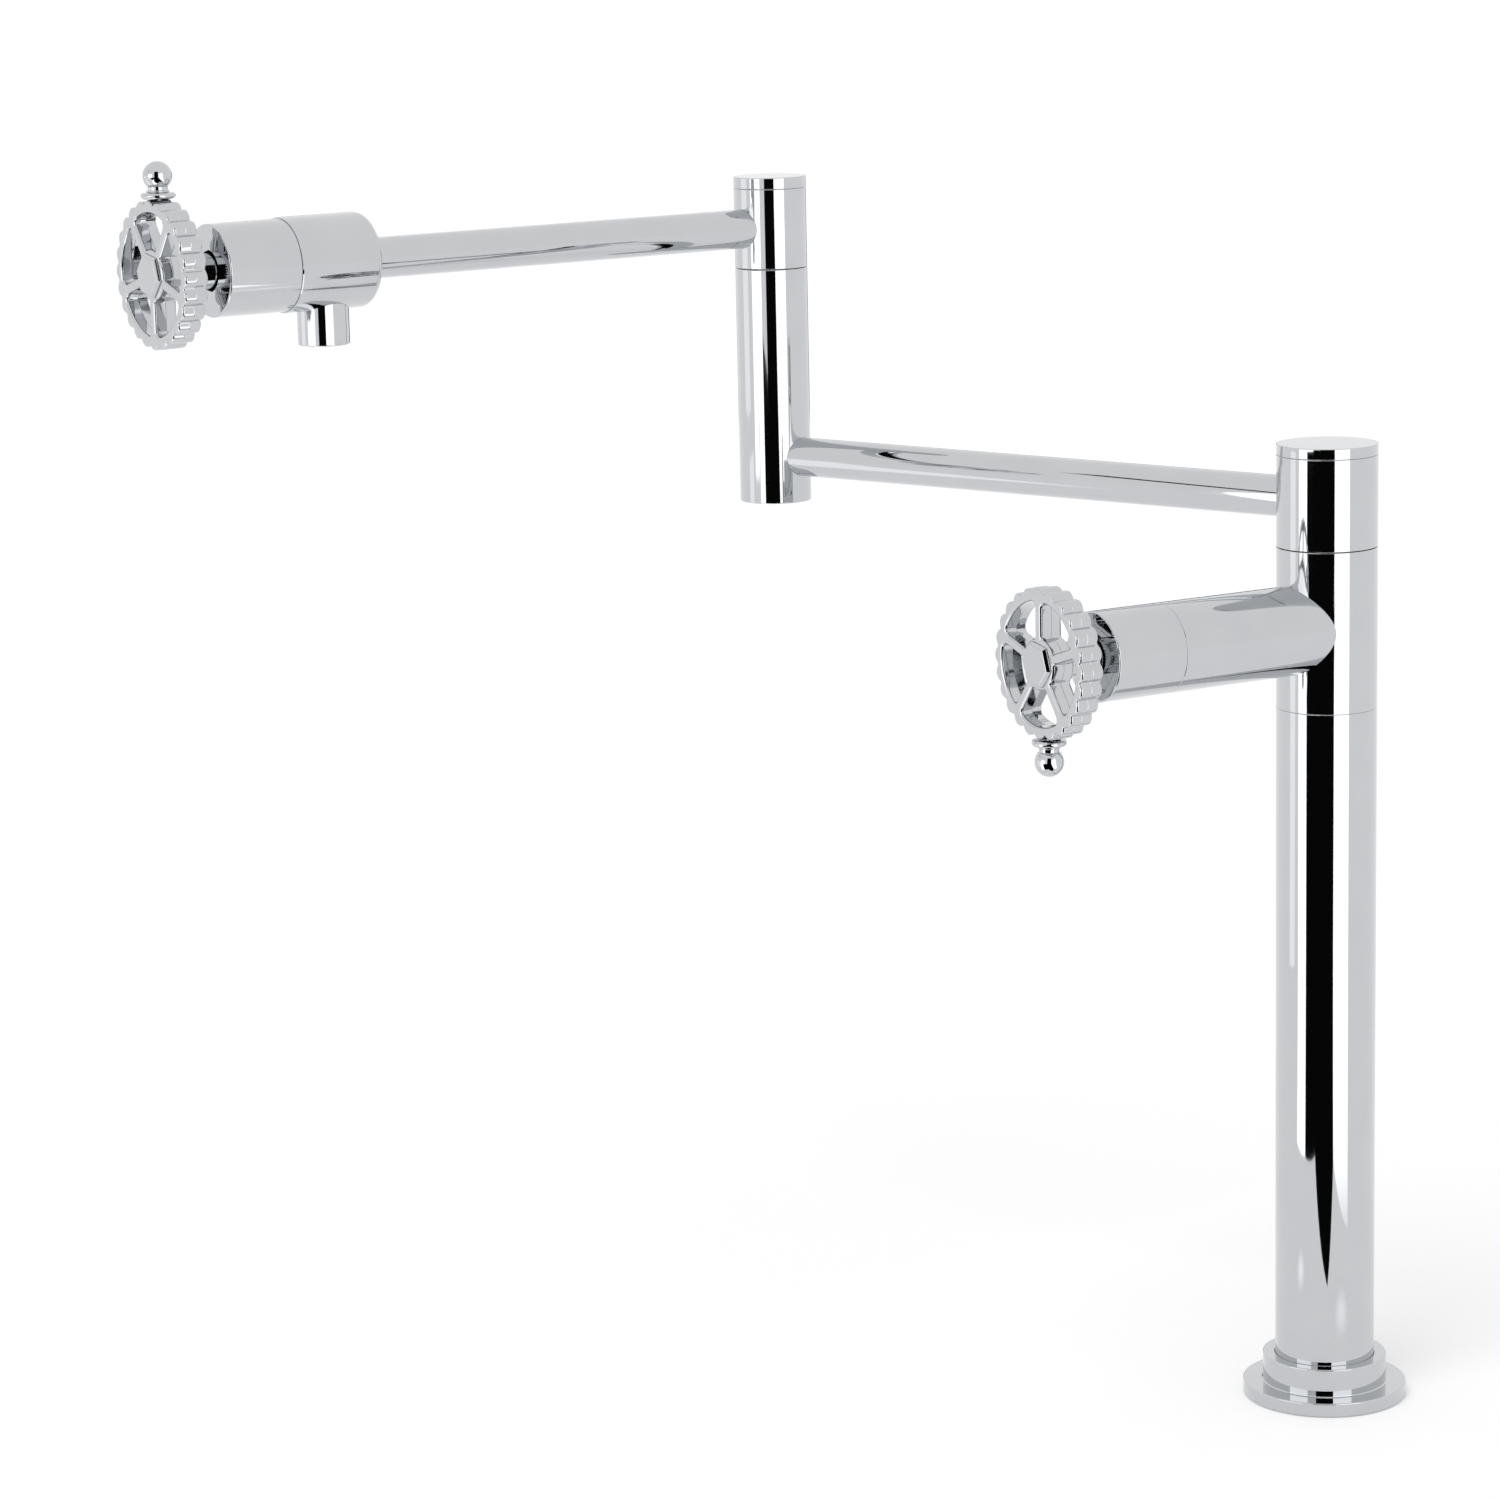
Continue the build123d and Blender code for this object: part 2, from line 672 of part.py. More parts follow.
def disc_openings(plane, start, end):
    # Two opposite sector holes through a ceramic disc
    with BuildSketch(plane.offset(start)) as openings:
        Circle(sector_outer / 2)
        Circle(sector_inner / 2, mode=Mode.SUBTRACT)
        half_web = 90 - sector_angle / 2
        for side in (0, 180):
            with BuildLine():
                Polyline(
                    (0, 0),
                    polar(sector_outer, side - half_web),
                    polar(2 * sector_outer, side),
                    polar(sector_outer, side + half_web),
                    close=True,
                )
            make_face(mode=Mode.SUBTRACT)
    extrude(openings.sketch, amount=end - start, mode=Mode.SUBTRACT)


def seat_seal(valve):
    with BuildPart() as seal:
        ring(valve, disc_diameter - loose_gap, seal_bore, -seat_depth, -seat_depth + seal_thickness)
    return seal


def fixed_disc(valve):
    with BuildPart() as disc:
        ring(valve, disc_diameter, 0, fixed_disc_front - disc_thickness, fixed_disc_front)
        disc_openings(valve, fixed_disc_front - disc_thickness, fixed_disc_front)
    return disc


def moving_disc(valve):
    # At rest its openings stand square to the fixed disc's, so the valve is shut
    turned_valve = Plane(valve.origin, x_dir=valve.y_dir, z_dir=valve.z_dir)
    with BuildPart() as disc:
        ring(valve, disc_diameter - loose_gap, 0, moving_disc_back, moving_disc_front)
        disc_openings(turned_valve, moving_disc_back, moving_disc_front)
        with BuildSketch(turned_valve.offset(moving_disc_front)) as slot:
            Rectangle(drive_key_width + 2 * fit_gap, drive_key_length + 2 * fit_gap)
        extrude(slot.sketch, amount=-drive_key_depth - fit_gap, mode=Mode.SUBTRACT)
    return disc


def cartridge_bonnet(valve):
    hex_end = bonnet_seat + bonnet_hex_height
    barrel_start = -seat_depth + seal_thickness
    with BuildPart() as bonnet:
        ring(valve, bonnet_barrel_diameter, 0, barrel_start, -bonnet_barrel_end)
        ring(valve, chamber_diameter - 2 * fit_gap, 0, -bonnet_barrel_end, bonnet_seat)
        with BuildSketch(valve.offset(bonnet_seat)) as hexagon:
            RegularPolygon(bonnet_hex_flats / 2, 6, major_radius=False)
        extrude(hexagon.sketch, amount=bonnet_hex_height)
        ring(valve, bonnet_neck_diameter, 0, hex_end, bonnet_neck_end)
        bored(valve, barrel_inner, barrel_start, -bonnet_barrel_end)
        bored(valve, stem_diameter + 2 * fit_gap, -bonnet_barrel_end, bonnet_neck_end)
        window_start = -bonnet_barrel_end - window_length - disc_gap
        for side in (0, 90):
            with BuildSketch(side_of(valve)) as window:
                with Locations((0, window_start + window_length / 2)):
                    Rectangle(window_width, window_length)
            extrude(
                window.sketch.rotate(Axis(valve.origin, valve.z_dir), side),
                amount=bonnet_barrel_diameter,
                both=True,
                mode=Mode.SUBTRACT,
            )
    return bonnet


def bonnet_gasket(valve):
    with BuildPart() as gasket:
        ring(valve, bonnet_hex_flats + 2 * fit_gap, chamber_diameter, sleeve_spigot_length, bonnet_seat)
    return gasket


def spline(plane, diameter, start, end, mode=Mode.ADD):
    # A shaft of fine V teeth, or with Mode.SUBTRACT the hole for one
    outline = []
    for tooth in range(spline_teeth):
        outline.append(polar(diameter / 2, 360 * tooth / spline_teeth))
        outline.append(polar(diameter / 2 - spline_depth, 360 * (tooth + 0.5) / spline_teeth))
    with BuildSketch(plane.offset(start)) as teeth:
        with BuildLine():
            Polyline(*outline, close=True)
        make_face()
    extrude(teeth.sketch, amount=end - start, mode=mode)


def stem(valve):
    turned_valve = Plane(valve.origin, x_dir=valve.y_dir, z_dir=valve.z_dir)
    with BuildPart() as shaft:
        ring(valve, stem_head_diameter, 0, moving_disc_front, stem_head_front)
        ring(valve, stem_diameter, 0, stem_head_front, spline_start)
        spline(valve, spline_diameter, spline_start, stem_end)
        with BuildSketch(turned_valve.offset(moving_disc_front)) as key:
            Rectangle(drive_key_width, drive_key_length)
        extrude(key.sketch, amount=-drive_key_depth)
        shaft_groove(valve, stem_diameter, stem_seal_height)
        clip_floor = stem_diameter - 2 * clip_groove_depth
        clip_start = bonnet_neck_end + disc_gap
        clip_end = clip_start + clip_thickness + fit_gap
        ring(valve, stem_diameter + bore_runout, clip_floor, clip_start, clip_end, mode=Mode.SUBTRACT)
        screw_hole_end = pocket_floor - screw_length - screw_hole_spare
        bored(valve, screw_diameter + 2 * fit_gap, screw_hole_end, stem_end)
    return shaft


def stem_o_ring(valve):
    with BuildPart() as seal:
        o_ring(valve, stem_diameter + 2 * o_ring_skin - o_ring_section, stem_seal_height)
    return seal


def stem_clip(valve):
    groove = stem_diameter - 2 * clip_groove_depth
    bottom = bonnet_neck_end + disc_gap
    return spring_clip(valve, groove, clip_width, bottom, clip_thickness, stem_diameter / 2)


def valve_sleeve(valve, size):
    with BuildPart() as sleeve:
        ring(valve, size, 0, 0, sleeve_length)
        chamfer(circles_at(sleeve, valve, size, 0), seam_bevel)
        chamfer(circles_at(sleeve, valve, size, sleeve_length), sleeve_bevel)
        bored(valve, sleeve_inner, 0, sleeve_length - sleeve_end_wall)
        bored(valve, sleeve_hole, sleeve_length - sleeve_end_wall, sleeve_length)
    return sleeve


def wheel_outline():
    # The cog-like outline: round lobes and narrower round grooves in turn
    outer = wheel_diameter / 2
    middle = outer - lobe_depth / 2
    pitch = 360 / lobe_count
    lobe_half = pitch * lobe_share / 2
    for number in range(lobe_count):
        tip = number * pitch
        start = polar(middle, tip - lobe_half)
        end = polar(middle, tip + lobe_half)
        next_start = polar(middle, tip + pitch - lobe_half)
        ThreePointArc(start, polar(outer, tip), end)
        ThreePointArc(end, polar(outer - lobe_depth, tip + pitch / 2), next_start)


def finial_plane(valve, angle):
    # A plane at the wheel's axis whose normal points out through the finial
    centre = valve.offset(wheel_offset).origin
    across, up = polar(1, angle)
    outwards = valve.x_dir * across + valve.y_dir * up
    return Plane(centre, x_dir=valve.z_dir, z_dir=outwards)


def hand_wheel(valve, finial_angle):
    back = valve.offset(wheel_back)
    stud_base = wheel_diameter / 2 + fit_gap - finial_stud_length
    with BuildPart() as wheel:
        with BuildSketch(back) as cog:
            with BuildLine():
                wheel_outline()
            make_face()
        extrude(cog.sketch, amount=wheel_thickness)
        outline_edges = wheel.edges().filter_by(GeomType.CIRCLE)
        chamfer(outline_edges, wheel_bevel)
        with BuildSketch(back) as windows:
            Circle(rim_inner_diameter / 2)
            Circle(hub_diameter / 2, mode=Mode.SUBTRACT)
            with PolarLocations(0, spoke_count, start_angle=finial_angle + 180):
                Rectangle(
                    rim_inner_diameter, spoke_width,
                    align=(Align.MIN, Align.CENTER), mode=Mode.SUBTRACT,
                )
            middle = (rim_inner_diameter / 2 + hub_diameter / 2) / 2
            outer_corners = windows.vertices().filter_by(lambda corner: hypot(corner.X, corner.Y) > middle)
            fillet(outer_corners, window_outer_round)
            inner_corners = windows.vertices().filter_by(lambda corner: hypot(corner.X, corner.Y) < middle)
            fillet(inner_corners, window_inner_round)
        extrude(windows.sketch, amount=wheel_thickness, mode=Mode.SUBTRACT)
        ring(valve, boss_diameter, 0, boss_back, wheel_back)
        spline(valve, spline_diameter + 2 * spline_gap, boss_back, stem_bore_end, mode=Mode.SUBTRACT)
        bored(valve, screw_diameter + loose_gap, stem_bore_end, pocket_floor)
        bored(valve, pocket_diameter, pocket_floor, wheel_front)
        stud_axis = finial_plane(valve, finial_angle)
        bored(stud_axis, finial_stud_diameter + 2 * fit_gap, stud_base - disc_gap, wheel_diameter)
    return wheel


def handle_screw(valve):
    with BuildPart() as screw:
        ring(valve, screw_diameter, 0, pocket_floor - screw_length, pocket_floor)
        ring(valve, screw_head_diameter, 0, pocket_floor, pocket_floor + screw_head_height)
        with BuildSketch(valve.offset(pocket_floor + screw_head_height)) as socket:
            RegularPolygon(screw_socket_flats / 2, 6, major_radius=False)
        extrude(socket.sketch, amount=-screw_socket_depth, mode=Mode.SUBTRACT)
    return screw


def hub_cap(valve):
    with BuildPart() as cap:
        with BuildSketch(valve.offset(wheel_front)) as hexagon:
            RegularPolygon(hex_cap_width / 2, 6, rotation=hex_cap_turn)
        extrude(hexagon.sketch, amount=hex_cap_height)
        ring(valve, pocket_diameter - 2 * fit_gap, 0, wheel_front - hex_cap_plug, wheel_front)
    return cap


def finial(valve, angle):
    plane = finial_plane(valve, angle)
    seat = wheel_diameter / 2 + fit_gap
    stud = finial_stud_diameter / 2
    stud_end = seat - finial_stud_length
    collar = finial_collar_diameter / 2
    collar_flat = collar - finial_collar_height / 2
    collar_top = seat + finial_collar_height
    collar_rim = (collar, (seat + collar_top) / 2)
    ring_outer = finial_ring_diameter / 2
    waist = finial_waist_diameter / 2
    ball = finial_ball_diameter / 2
    ball_foot = finial_reach - (ball**2 - waist**2) ** 0.5
    with BuildPart() as knob:
        with BuildSketch(side_of(plane)) as profile:
            with BuildLine():
                Polyline((0, stud_end), (stud, stud_end), (stud, seat), (collar_flat, seat))
                ThreePointArc((collar_flat, seat), collar_rim, (collar_flat, collar_top))
                Polyline(
                    (collar_flat, collar_top),
                    (ring_outer, collar_top),
                    (ring_outer, collar_top + finial_ring_height),
                    (waist, collar_top + finial_ring_height),
                    (waist, ball_foot),
                )
                ThreePointArc((waist, ball_foot), (ball, finial_reach), (0, finial_reach + ball))
                Line((0, finial_reach + ball), (0, stud_end))
            make_face()
        revolve(profile.sketch, axis=Axis(plane.origin, plane.z_dir))
    return knob


for side, valve, size, finial_angle in (
    ("lower", lower_valve, lower_sleeve_diameter, -90),
    ("upper", upper_valve, upper_sleeve_diameter, 90),
):
    write(seat_seal(valve), f"{side}_seat_seal")
    write(fixed_disc(valve), f"{side}_fixed_disc")
    write(moving_disc(valve), f"{side}_moving_disc")
    write(cartridge_bonnet(valve), f"{side}_cartridge_bonnet")
    write(bonnet_gasket(valve), f"{side}_bonnet_gasket")
    write(stem(valve), f"{side}_stem")
    write(stem_o_ring(valve), f"{side}_stem_o_ring")
    write(stem_clip(valve), f"{side}_stem_clip")
    write(valve_sleeve(valve, size), f"{side}_valve_sleeve")
    write(hand_wheel(valve, finial_angle), f"{side}_hand_wheel")
    write(handle_screw(valve), f"{side}_handle_screw")
    write(hub_cap(valve), f"{side}_hub_cap")
    write(finial(valve, finial_angle), f"{side}_finial")
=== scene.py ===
import json
import math

import bpy
from mathutils import Matrix, Vector


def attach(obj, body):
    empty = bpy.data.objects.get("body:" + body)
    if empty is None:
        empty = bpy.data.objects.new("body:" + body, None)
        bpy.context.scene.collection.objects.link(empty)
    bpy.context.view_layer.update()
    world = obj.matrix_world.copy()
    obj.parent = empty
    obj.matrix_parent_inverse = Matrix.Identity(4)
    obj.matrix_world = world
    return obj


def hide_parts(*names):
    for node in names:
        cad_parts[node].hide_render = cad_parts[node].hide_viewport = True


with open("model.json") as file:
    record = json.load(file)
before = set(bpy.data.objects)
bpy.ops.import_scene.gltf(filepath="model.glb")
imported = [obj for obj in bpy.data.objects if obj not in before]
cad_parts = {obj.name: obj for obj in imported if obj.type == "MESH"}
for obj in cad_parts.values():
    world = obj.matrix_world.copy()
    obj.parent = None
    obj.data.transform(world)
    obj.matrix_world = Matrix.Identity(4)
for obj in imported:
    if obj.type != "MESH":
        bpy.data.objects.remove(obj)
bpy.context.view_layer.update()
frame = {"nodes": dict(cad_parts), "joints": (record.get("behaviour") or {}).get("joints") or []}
print("frame loaded")

mm = 0.001
nodes = frame["nodes"]
joints = {joint["name"]: joint for joint in frame["joints"]}

# Sizes in mm where pieces meet, as radii: a close bore is wider than what it takes by the slip, and
# the seam is the gap that a swivel's thrust washer leaves between its two halves
fits = {"columnRadius": 20.0, "postRadius": 15.3, "armRadius": 8.2, "branchRadius": 17.7,
        "sleeveSpigot": 15.45, "valveChamber": 10.25, "seatBore": 4.6, "waterBore": 6.0,
        "riserSocket": 7.05, "shankRadius": 14.0, "shankBore": 14.3, "slip": 0.05, "seam": 0.3}
armSocket = fits["armRadius"] + fits["slip"]
columnBore = fits["columnRadius"] + fits["slip"]

doubleGap = 0.002 * mm  # points nearer than this are one point
overshoot = 1.0  # how far a cutting tool stands out of the face that it opens, in mm
longOvershoot = 5.0  # the same where that face is round, and past the shank's thread


# Places that the pieces are made about

def levelFrame(origin, axis):
    # A frame whose Z runs along a level axis and whose Y is up
    along = Vector(axis).normalized()
    up = Vector((0, 0, 1))
    side = up.cross(along)
    place = Matrix((side, up, along)).transposed().to_4x4()
    place.translation = Vector(origin)
    return place


def uprightFrame(origin):
    return Matrix.Translation(Vector((origin[0], origin[1], 0)))


columnAxis = uprightFrame((0, 0, 0))
postAxis = uprightFrame(joints["post_swivel"]["pos_m"])
lowerValve = levelFrame(joints["lower_valve_turn"]["pos_m"], joints["lower_valve_turn"]["axis"])
upperValve = levelFrame(joints["upper_valve_turn"]["pos_m"], joints["upper_valve_turn"]["axis"])
postPlace = Vector(joints["post_swivel"]["pos_m"])
lowerArm = levelFrame(joints["column_swivel"]["pos_m"], (postPlace.x, postPlace.y, 0))
upperArm = levelFrame(postPlace, joints["upper_valve_turn"]["axis"])


# Small modelling steps shared by the pieces

def onlyActive(piece):
    bpy.ops.object.select_all(action="DESELECT")
    bpy.context.view_layer.objects.active = piece
    piece.select_set(True)


def editAll(piece):
    onlyActive(piece)
    bpy.ops.object.mode_set(mode="EDIT")
    bpy.ops.mesh.select_mode(type="VERT")
    bpy.ops.mesh.select_all(action="SELECT")


def closeUp(piece):
    # Merges doubles and turns every face outwards
    editAll(piece)
    bpy.ops.mesh.remove_doubles(threshold=doubleGap)
    bpy.ops.mesh.normals_make_consistent(inside=False)
    bpy.ops.object.mode_set(mode="OBJECT")


def useModifier(piece, kind, **settings):
    onlyActive(piece)
    modifier = piece.modifiers.new(kind.title(), kind)
    for name, value in settings.items():
        setattr(modifier, name, value)
    bpy.ops.object.modifier_apply(modifier=modifier.name)


def roundEdges(piece, width, segments=3, angle=40):
    useModifier(
        piece, "BEVEL", width=width * mm, segments=segments, limit_method="ANGLE",
        angle_limit=math.radians(angle), use_clamp_overlap=True, harden_normals=False,
    )


def smoothFaces(piece, angle=30):
    onlyActive(piece)
    bpy.ops.object.shade_smooth_by_angle(angle=math.radians(angle))
    useModifier(piece, "WEIGHTED_NORMAL", weight=80, keep_sharp=True)


def combine(piece, tool, operation):
    useModifier(piece, "BOOLEAN", object=tool, operation=operation, solver="EXACT")
    bpy.data.objects.remove(tool)


def putAt(piece, place):
    onlyActive(piece)
    piece.matrix_world = place @ piece.matrix_world
    bpy.ops.object.transform_apply(location=True, rotation=True, scale=True)


def arcCorners(radius, height, size, start, end, count):
    # Corners along an arc of an outline, with angles in degrees from the outward direction
    corners = []
    for number in range(count + 1):
        turn = math.radians(start + (end - start) * number / count)
        corners.append((radius + size * math.cos(turn), height + size * math.sin(turn)))
    return corners


def drawnLine(name, corners, closed=False):
    # A chain of edges through corners in mm, drawn on from one point
    bpy.ops.object.select_all(action="DESELECT")
    place = Vector(corners[0]) * mm
    bpy.ops.mesh.primitive_plane_add(size=mm, location=place)
    piece = bpy.context.object
    piece.name = name
    bpy.ops.object.transform_apply(location=True, rotation=True, scale=True)
    bpy.ops.object.mode_set(mode="EDIT")
    bpy.ops.mesh.select_mode(type="VERT")
    bpy.ops.mesh.select_all(action="SELECT")
    bpy.ops.mesh.merge(type="CENTER")
    for corner in corners[1:] + (corners[:1] if closed else []):
        nextPlace = Vector(corner) * mm
        bpy.ops.mesh.extrude_region_move(TRANSFORM_OT_translate={"value": nextPlace - place})
        place = nextPlace
    bpy.ops.mesh.select_all(action="SELECT")
    bpy.ops.mesh.remove_doubles(threshold=doubleGap)
    bpy.ops.object.mode_set(mode="OBJECT")
    return piece


def turnedPiece(name, outline, steps=128):
    # Turns an outline of (radius, height) corners in mm about Z, as on a lathe
    onAxis = outline[0][0] == 0 and outline[-1][0] == 0
    piece = drawnLine(name, [(radius, 0, height) for radius, height in outline], not onAxis)
    editAll(piece)
    bpy.ops.mesh.spin(steps=steps, angle=math.tau, center=(0, 0, 0), axis=(0, 0, 1))
    bpy.ops.object.mode_set(mode="OBJECT")
    closeUp(piece)
    return piece


def rod(name, radius, start, end, steps=64):
    # A plain turned tool for cutting holes, in mm about Z
    return turnedPiece(name, [(0, start), (radius, start), (radius, end), (0, end)], steps)


finished = []  # each new piece with the name of its finish


def finishPiece(piece, body, slotName, *replaced):
    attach(piece, body)
    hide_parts(*replaced)
    finished.append((piece, slotName))


# Base flange: a plate, a raised ring and the groove for its gasket
flangeSizes = {"plate": 33.0, "plateTop": 5.6, "ring": 25.0, "ringTop": 17.1, "columnBore": columnBore,
               "shankBore": fits["shankBore"], "grooveIn": 22.5, "grooveOut": 29.5, "grooveTop": 2.5,
               "edge": 0.5}


def makeFlange(s):
    piece = turnedPiece("baseFlange", [
        (s["plate"], 0), (s["plate"], s["plateTop"]), (s["ring"], s["plateTop"]), (s["ring"], s["ringTop"]),
        (s["columnBore"], s["ringTop"]), (s["columnBore"], s["plateTop"]), (s["shankBore"], s["plateTop"]),
        (s["shankBore"], 0), (s["grooveIn"], 0), (s["grooveIn"], s["grooveTop"]),
        (s["grooveOut"], s["grooveTop"]), (s["grooveOut"], 0),
    ], steps=160)
    roundEdges(piece, s["edge"], segments=4)
    smoothFaces(piece)
    finishPiece(piece, "column", "chrome", "base_flange")


makeFlange(flangeSizes)


# Column tube
columnSizes = {"radius": fits["columnRadius"], "bore": 18.0, "bottom": flangeSizes["plateTop"],
               "top": 285.0, "edge": 0.25}


def makeColumn(s):
    piece = turnedPiece("columnTube", [
        (s["radius"], s["bottom"]), (s["radius"], s["top"]),
        (s["bore"], s["top"]), (s["bore"], s["bottom"]),
    ], steps=192)
    roundEdges(piece, s["edge"])
    smoothFaces(piece)
    finishPiece(piece, "column", "chrome", "column_tube")


makeColumn(columnSizes)


# Tee: a short column with the lower valve's branch, a spigot at each joint and its bores
teeSizes = {"radius": fits["columnRadius"], "bottom": columnSizes["top"], "top": 349.2,
            "spigot": columnSizes["bore"] - fits["slip"], "spigotBottom": 271.0,
            "riserBore": fits["riserSocket"], "riserTop": 289.0, "waterBore": fits["waterBore"],
            "waterTop": 322.7, "threadBore": 9.95, "threadBottom": 338.2, "branch": fits["branchRadius"],
            "branchLength": 81.3, "sleeveSpigot": fits["sleeveSpigot"], "sleeveSpigotLength": 5.0,
            "chamber": fits["valveChamber"], "chamberDepth": 24.0, "seatBore": fits["seatBore"],
            "edge": 0.25}


def makeTee(s):
    piece = turnedPiece("teeBody", [
        (0, s["spigotBottom"]), (s["spigot"], s["spigotBottom"]), (s["spigot"], s["bottom"]),
        (s["radius"], s["bottom"]), (s["radius"], s["top"]), (0, s["top"]),
    ], steps=256)
    roundEdges(piece, s["edge"], segments=5)
    branch = turnedPiece("branchTool", [
        (0, -s["branchLength"]), (s["branch"], -s["branchLength"]), (s["branch"], 0),
        (s["sleeveSpigot"], 0), (s["sleeveSpigot"], s["sleeveSpigotLength"]), (0, s["sleeveSpigotLength"]),
    ], steps=256)
    roundEdges(branch, s["edge"], segments=5)
    putAt(branch, lowerValve)
    combine(piece, branch, "UNION")
    inlet = s["spigotBottom"] - overshoot
    supply = turnedPiece("supplyTool", [
        (0, inlet), (s["riserBore"], inlet), (s["riserBore"], s["riserTop"]),
        (s["waterBore"], s["riserTop"]), (s["waterBore"], s["waterTop"]), (0, s["waterTop"]),
    ], steps=64)
    combine(piece, supply, "DIFFERENCE")
    delivery = rod("deliveryTool", s["threadBore"], s["threadBottom"], s["top"] + overshoot)
    combine(piece, delivery, "DIFFERENCE")
    mouth = s["sleeveSpigotLength"] + overshoot
    chamber = turnedPiece("chamberTool", [
        (0, -s["branchLength"]), (s["seatBore"], -s["branchLength"]), (s["seatBore"], -s["chamberDepth"]),
        (s["chamber"], -s["chamberDepth"]), (s["chamber"], mouth), (0, mouth),
    ], steps=64)
    putAt(chamber, lowerValve)
    combine(piece, chamber, "DIFFERENCE")
    closeUp(piece)
    smoothFaces(piece, angle=20)
    finishPiece(piece, "column", "chrome", "tee_body")


makeTee(teeSizes)
print("column made")


# Swivel housings: a round housing bored for its spigot, with a socket for the arm that it carries
headSizes = {"radius": fits["columnRadius"], "bottom": teeSizes["top"] + fits["seam"], "top": 385.7,
             "washer": 17.3, "washerTop": 350.85, "bore": 11.05, "pocket": 16.0, "pocketFloor": 379.1,
             "socketStart": 14.4, "edge": 0.25}
knuckleSizes = {"radius": fits["postRadius"], "bottom": 448.5, "top": 482.1, "washer": 13.3,
                "washerTop": 449.85, "bore": 8.55, "pocket": 11.3, "pocketFloor": 475.5,
                "socketStart": 11.7, "edge": 0.25}


def makeHousing(name, s, place, armPlace):
    piece = turnedPiece(name, [
        (s["radius"], s["bottom"]), (s["radius"], s["top"]), (s["pocket"], s["top"]),
        (s["pocket"], s["pocketFloor"]), (s["bore"], s["pocketFloor"]), (s["bore"], s["washerTop"]),
        (s["washer"], s["washerTop"]), (s["washer"], s["bottom"]),
    ], steps=192)
    roundEdges(piece, s["edge"])
    putAt(piece, place)
    socket = rod("socketTool", armSocket, s["socketStart"], s["radius"] + longOvershoot, steps=96)
    putAt(socket, armPlace)
    combine(piece, socket, "DIFFERENCE")
    closeUp(piece)
    smoothFaces(piece)
    return piece


finishPiece(makeHousing("swivelHead", headSizes, columnAxis, lowerArm),
            "lower_arm", "chrome", "swivel_head")
finishPiece(makeHousing("swivelKnuckle", knuckleSizes, postAxis, upperArm),
            "upper_arm", "chrome", "knuckle")


# Caps of the housings, each with a hollow plug that fits the housing's pocket
headCapSizes = {"radius": headSizes["radius"], "bottom": headSizes["top"], "top": 390.1,
                "plug": headSizes["pocket"] - fits["slip"], "plugBore": 11.95, "plugBottom": 383.1,
                "edge": 0.4}
knuckleCapSizes = {"radius": knuckleSizes["radius"], "bottom": knuckleSizes["top"], "top": 487.0,
                   "plug": knuckleSizes["pocket"] - fits["slip"], "plugBore": 7.25, "plugBottom": 479.5,
                   "edge": 0.4}


def makeCap(name, s, place):
    piece = turnedPiece(name, [
        (0, s["bottom"]), (s["plugBore"], s["bottom"]), (s["plugBore"], s["plugBottom"]),
        (s["plug"], s["plugBottom"]), (s["plug"], s["bottom"]), (s["radius"], s["bottom"]),
        (s["radius"], s["top"]), (0, s["top"]),
    ], steps=192)
    roundEdges(piece, s["edge"], segments=4)
    putAt(piece, place)
    smoothFaces(piece)
    return piece


finishPiece(makeCap("swivelHeadCap", headCapSizes, columnAxis), "lower_arm", "chrome", "swivel_head_cap")
finishPiece(makeCap("knuckleCap", knuckleCapSizes, postAxis), "upper_arm", "chrome", "knuckle_cap")


# Arms: plain drawn tubes, let into their sockets at both ends
armSizes = {"radius": fits["armRadius"], "bore": 6.6, "lowerStart": headSizes["socketStart"],
            "lowerEnd": 263.8, "upperStart": knuckleSizes["socketStart"], "upperEnd": 207.0}


def makeArm(name, start, end, place, s=armSizes):
    piece = turnedPiece(name, [
        (s["radius"], start), (s["radius"], end), (s["bore"], end), (s["bore"], start),
    ], steps=128)
    putAt(piece, place)
    smoothFaces(piece)
    return piece


finishPiece(makeArm("lowerArmTube", armSizes["lowerStart"], armSizes["lowerEnd"], lowerArm),
            "lower_arm", "chrome", "lower_arm_tube")
finishPiece(makeArm("upperArmTube", armSizes["upperStart"], armSizes["upperEnd"], upperArm),
            "upper_arm", "chrome", "upper_arm_tube")


# Middle post
postSizes = {"radius": fits["postRadius"], "bottom": 348.2, "top": knuckleSizes["bottom"] - fits["seam"],
             "bore": 7.0, "boreBottom": 360.0, "threadBore": 7.75, "threadBottom": 439.2,
             "socketStart": 243.8, "socketEnd": armSizes["lowerEnd"], "edge": 0.4}


def makePost(s):
    piece = turnedPiece("middlePost", [
        (0, s["bottom"]), (s["radius"], s["bottom"]), (s["radius"], s["top"]), (s["threadBore"], s["top"]),
        (s["threadBore"], s["threadBottom"]), (s["bore"], s["threadBottom"]), (s["bore"], s["boreBottom"]),
        (0, s["boreBottom"]),
    ], steps=192)
    roundEdges(piece, s["edge"], segments=4)
    putAt(piece, postAxis)
    socket = rod("socketTool", armSocket, s["socketStart"], s["socketEnd"], steps=96)
    putAt(socket, lowerArm)
    combine(piece, socket, "DIFFERENCE")
    closeUp(piece)
    smoothFaces(piece)
    finishPiece(piece, "lower_arm", "chrome", "middle_post")


makePost(postSizes)
print("arms and swivels made")


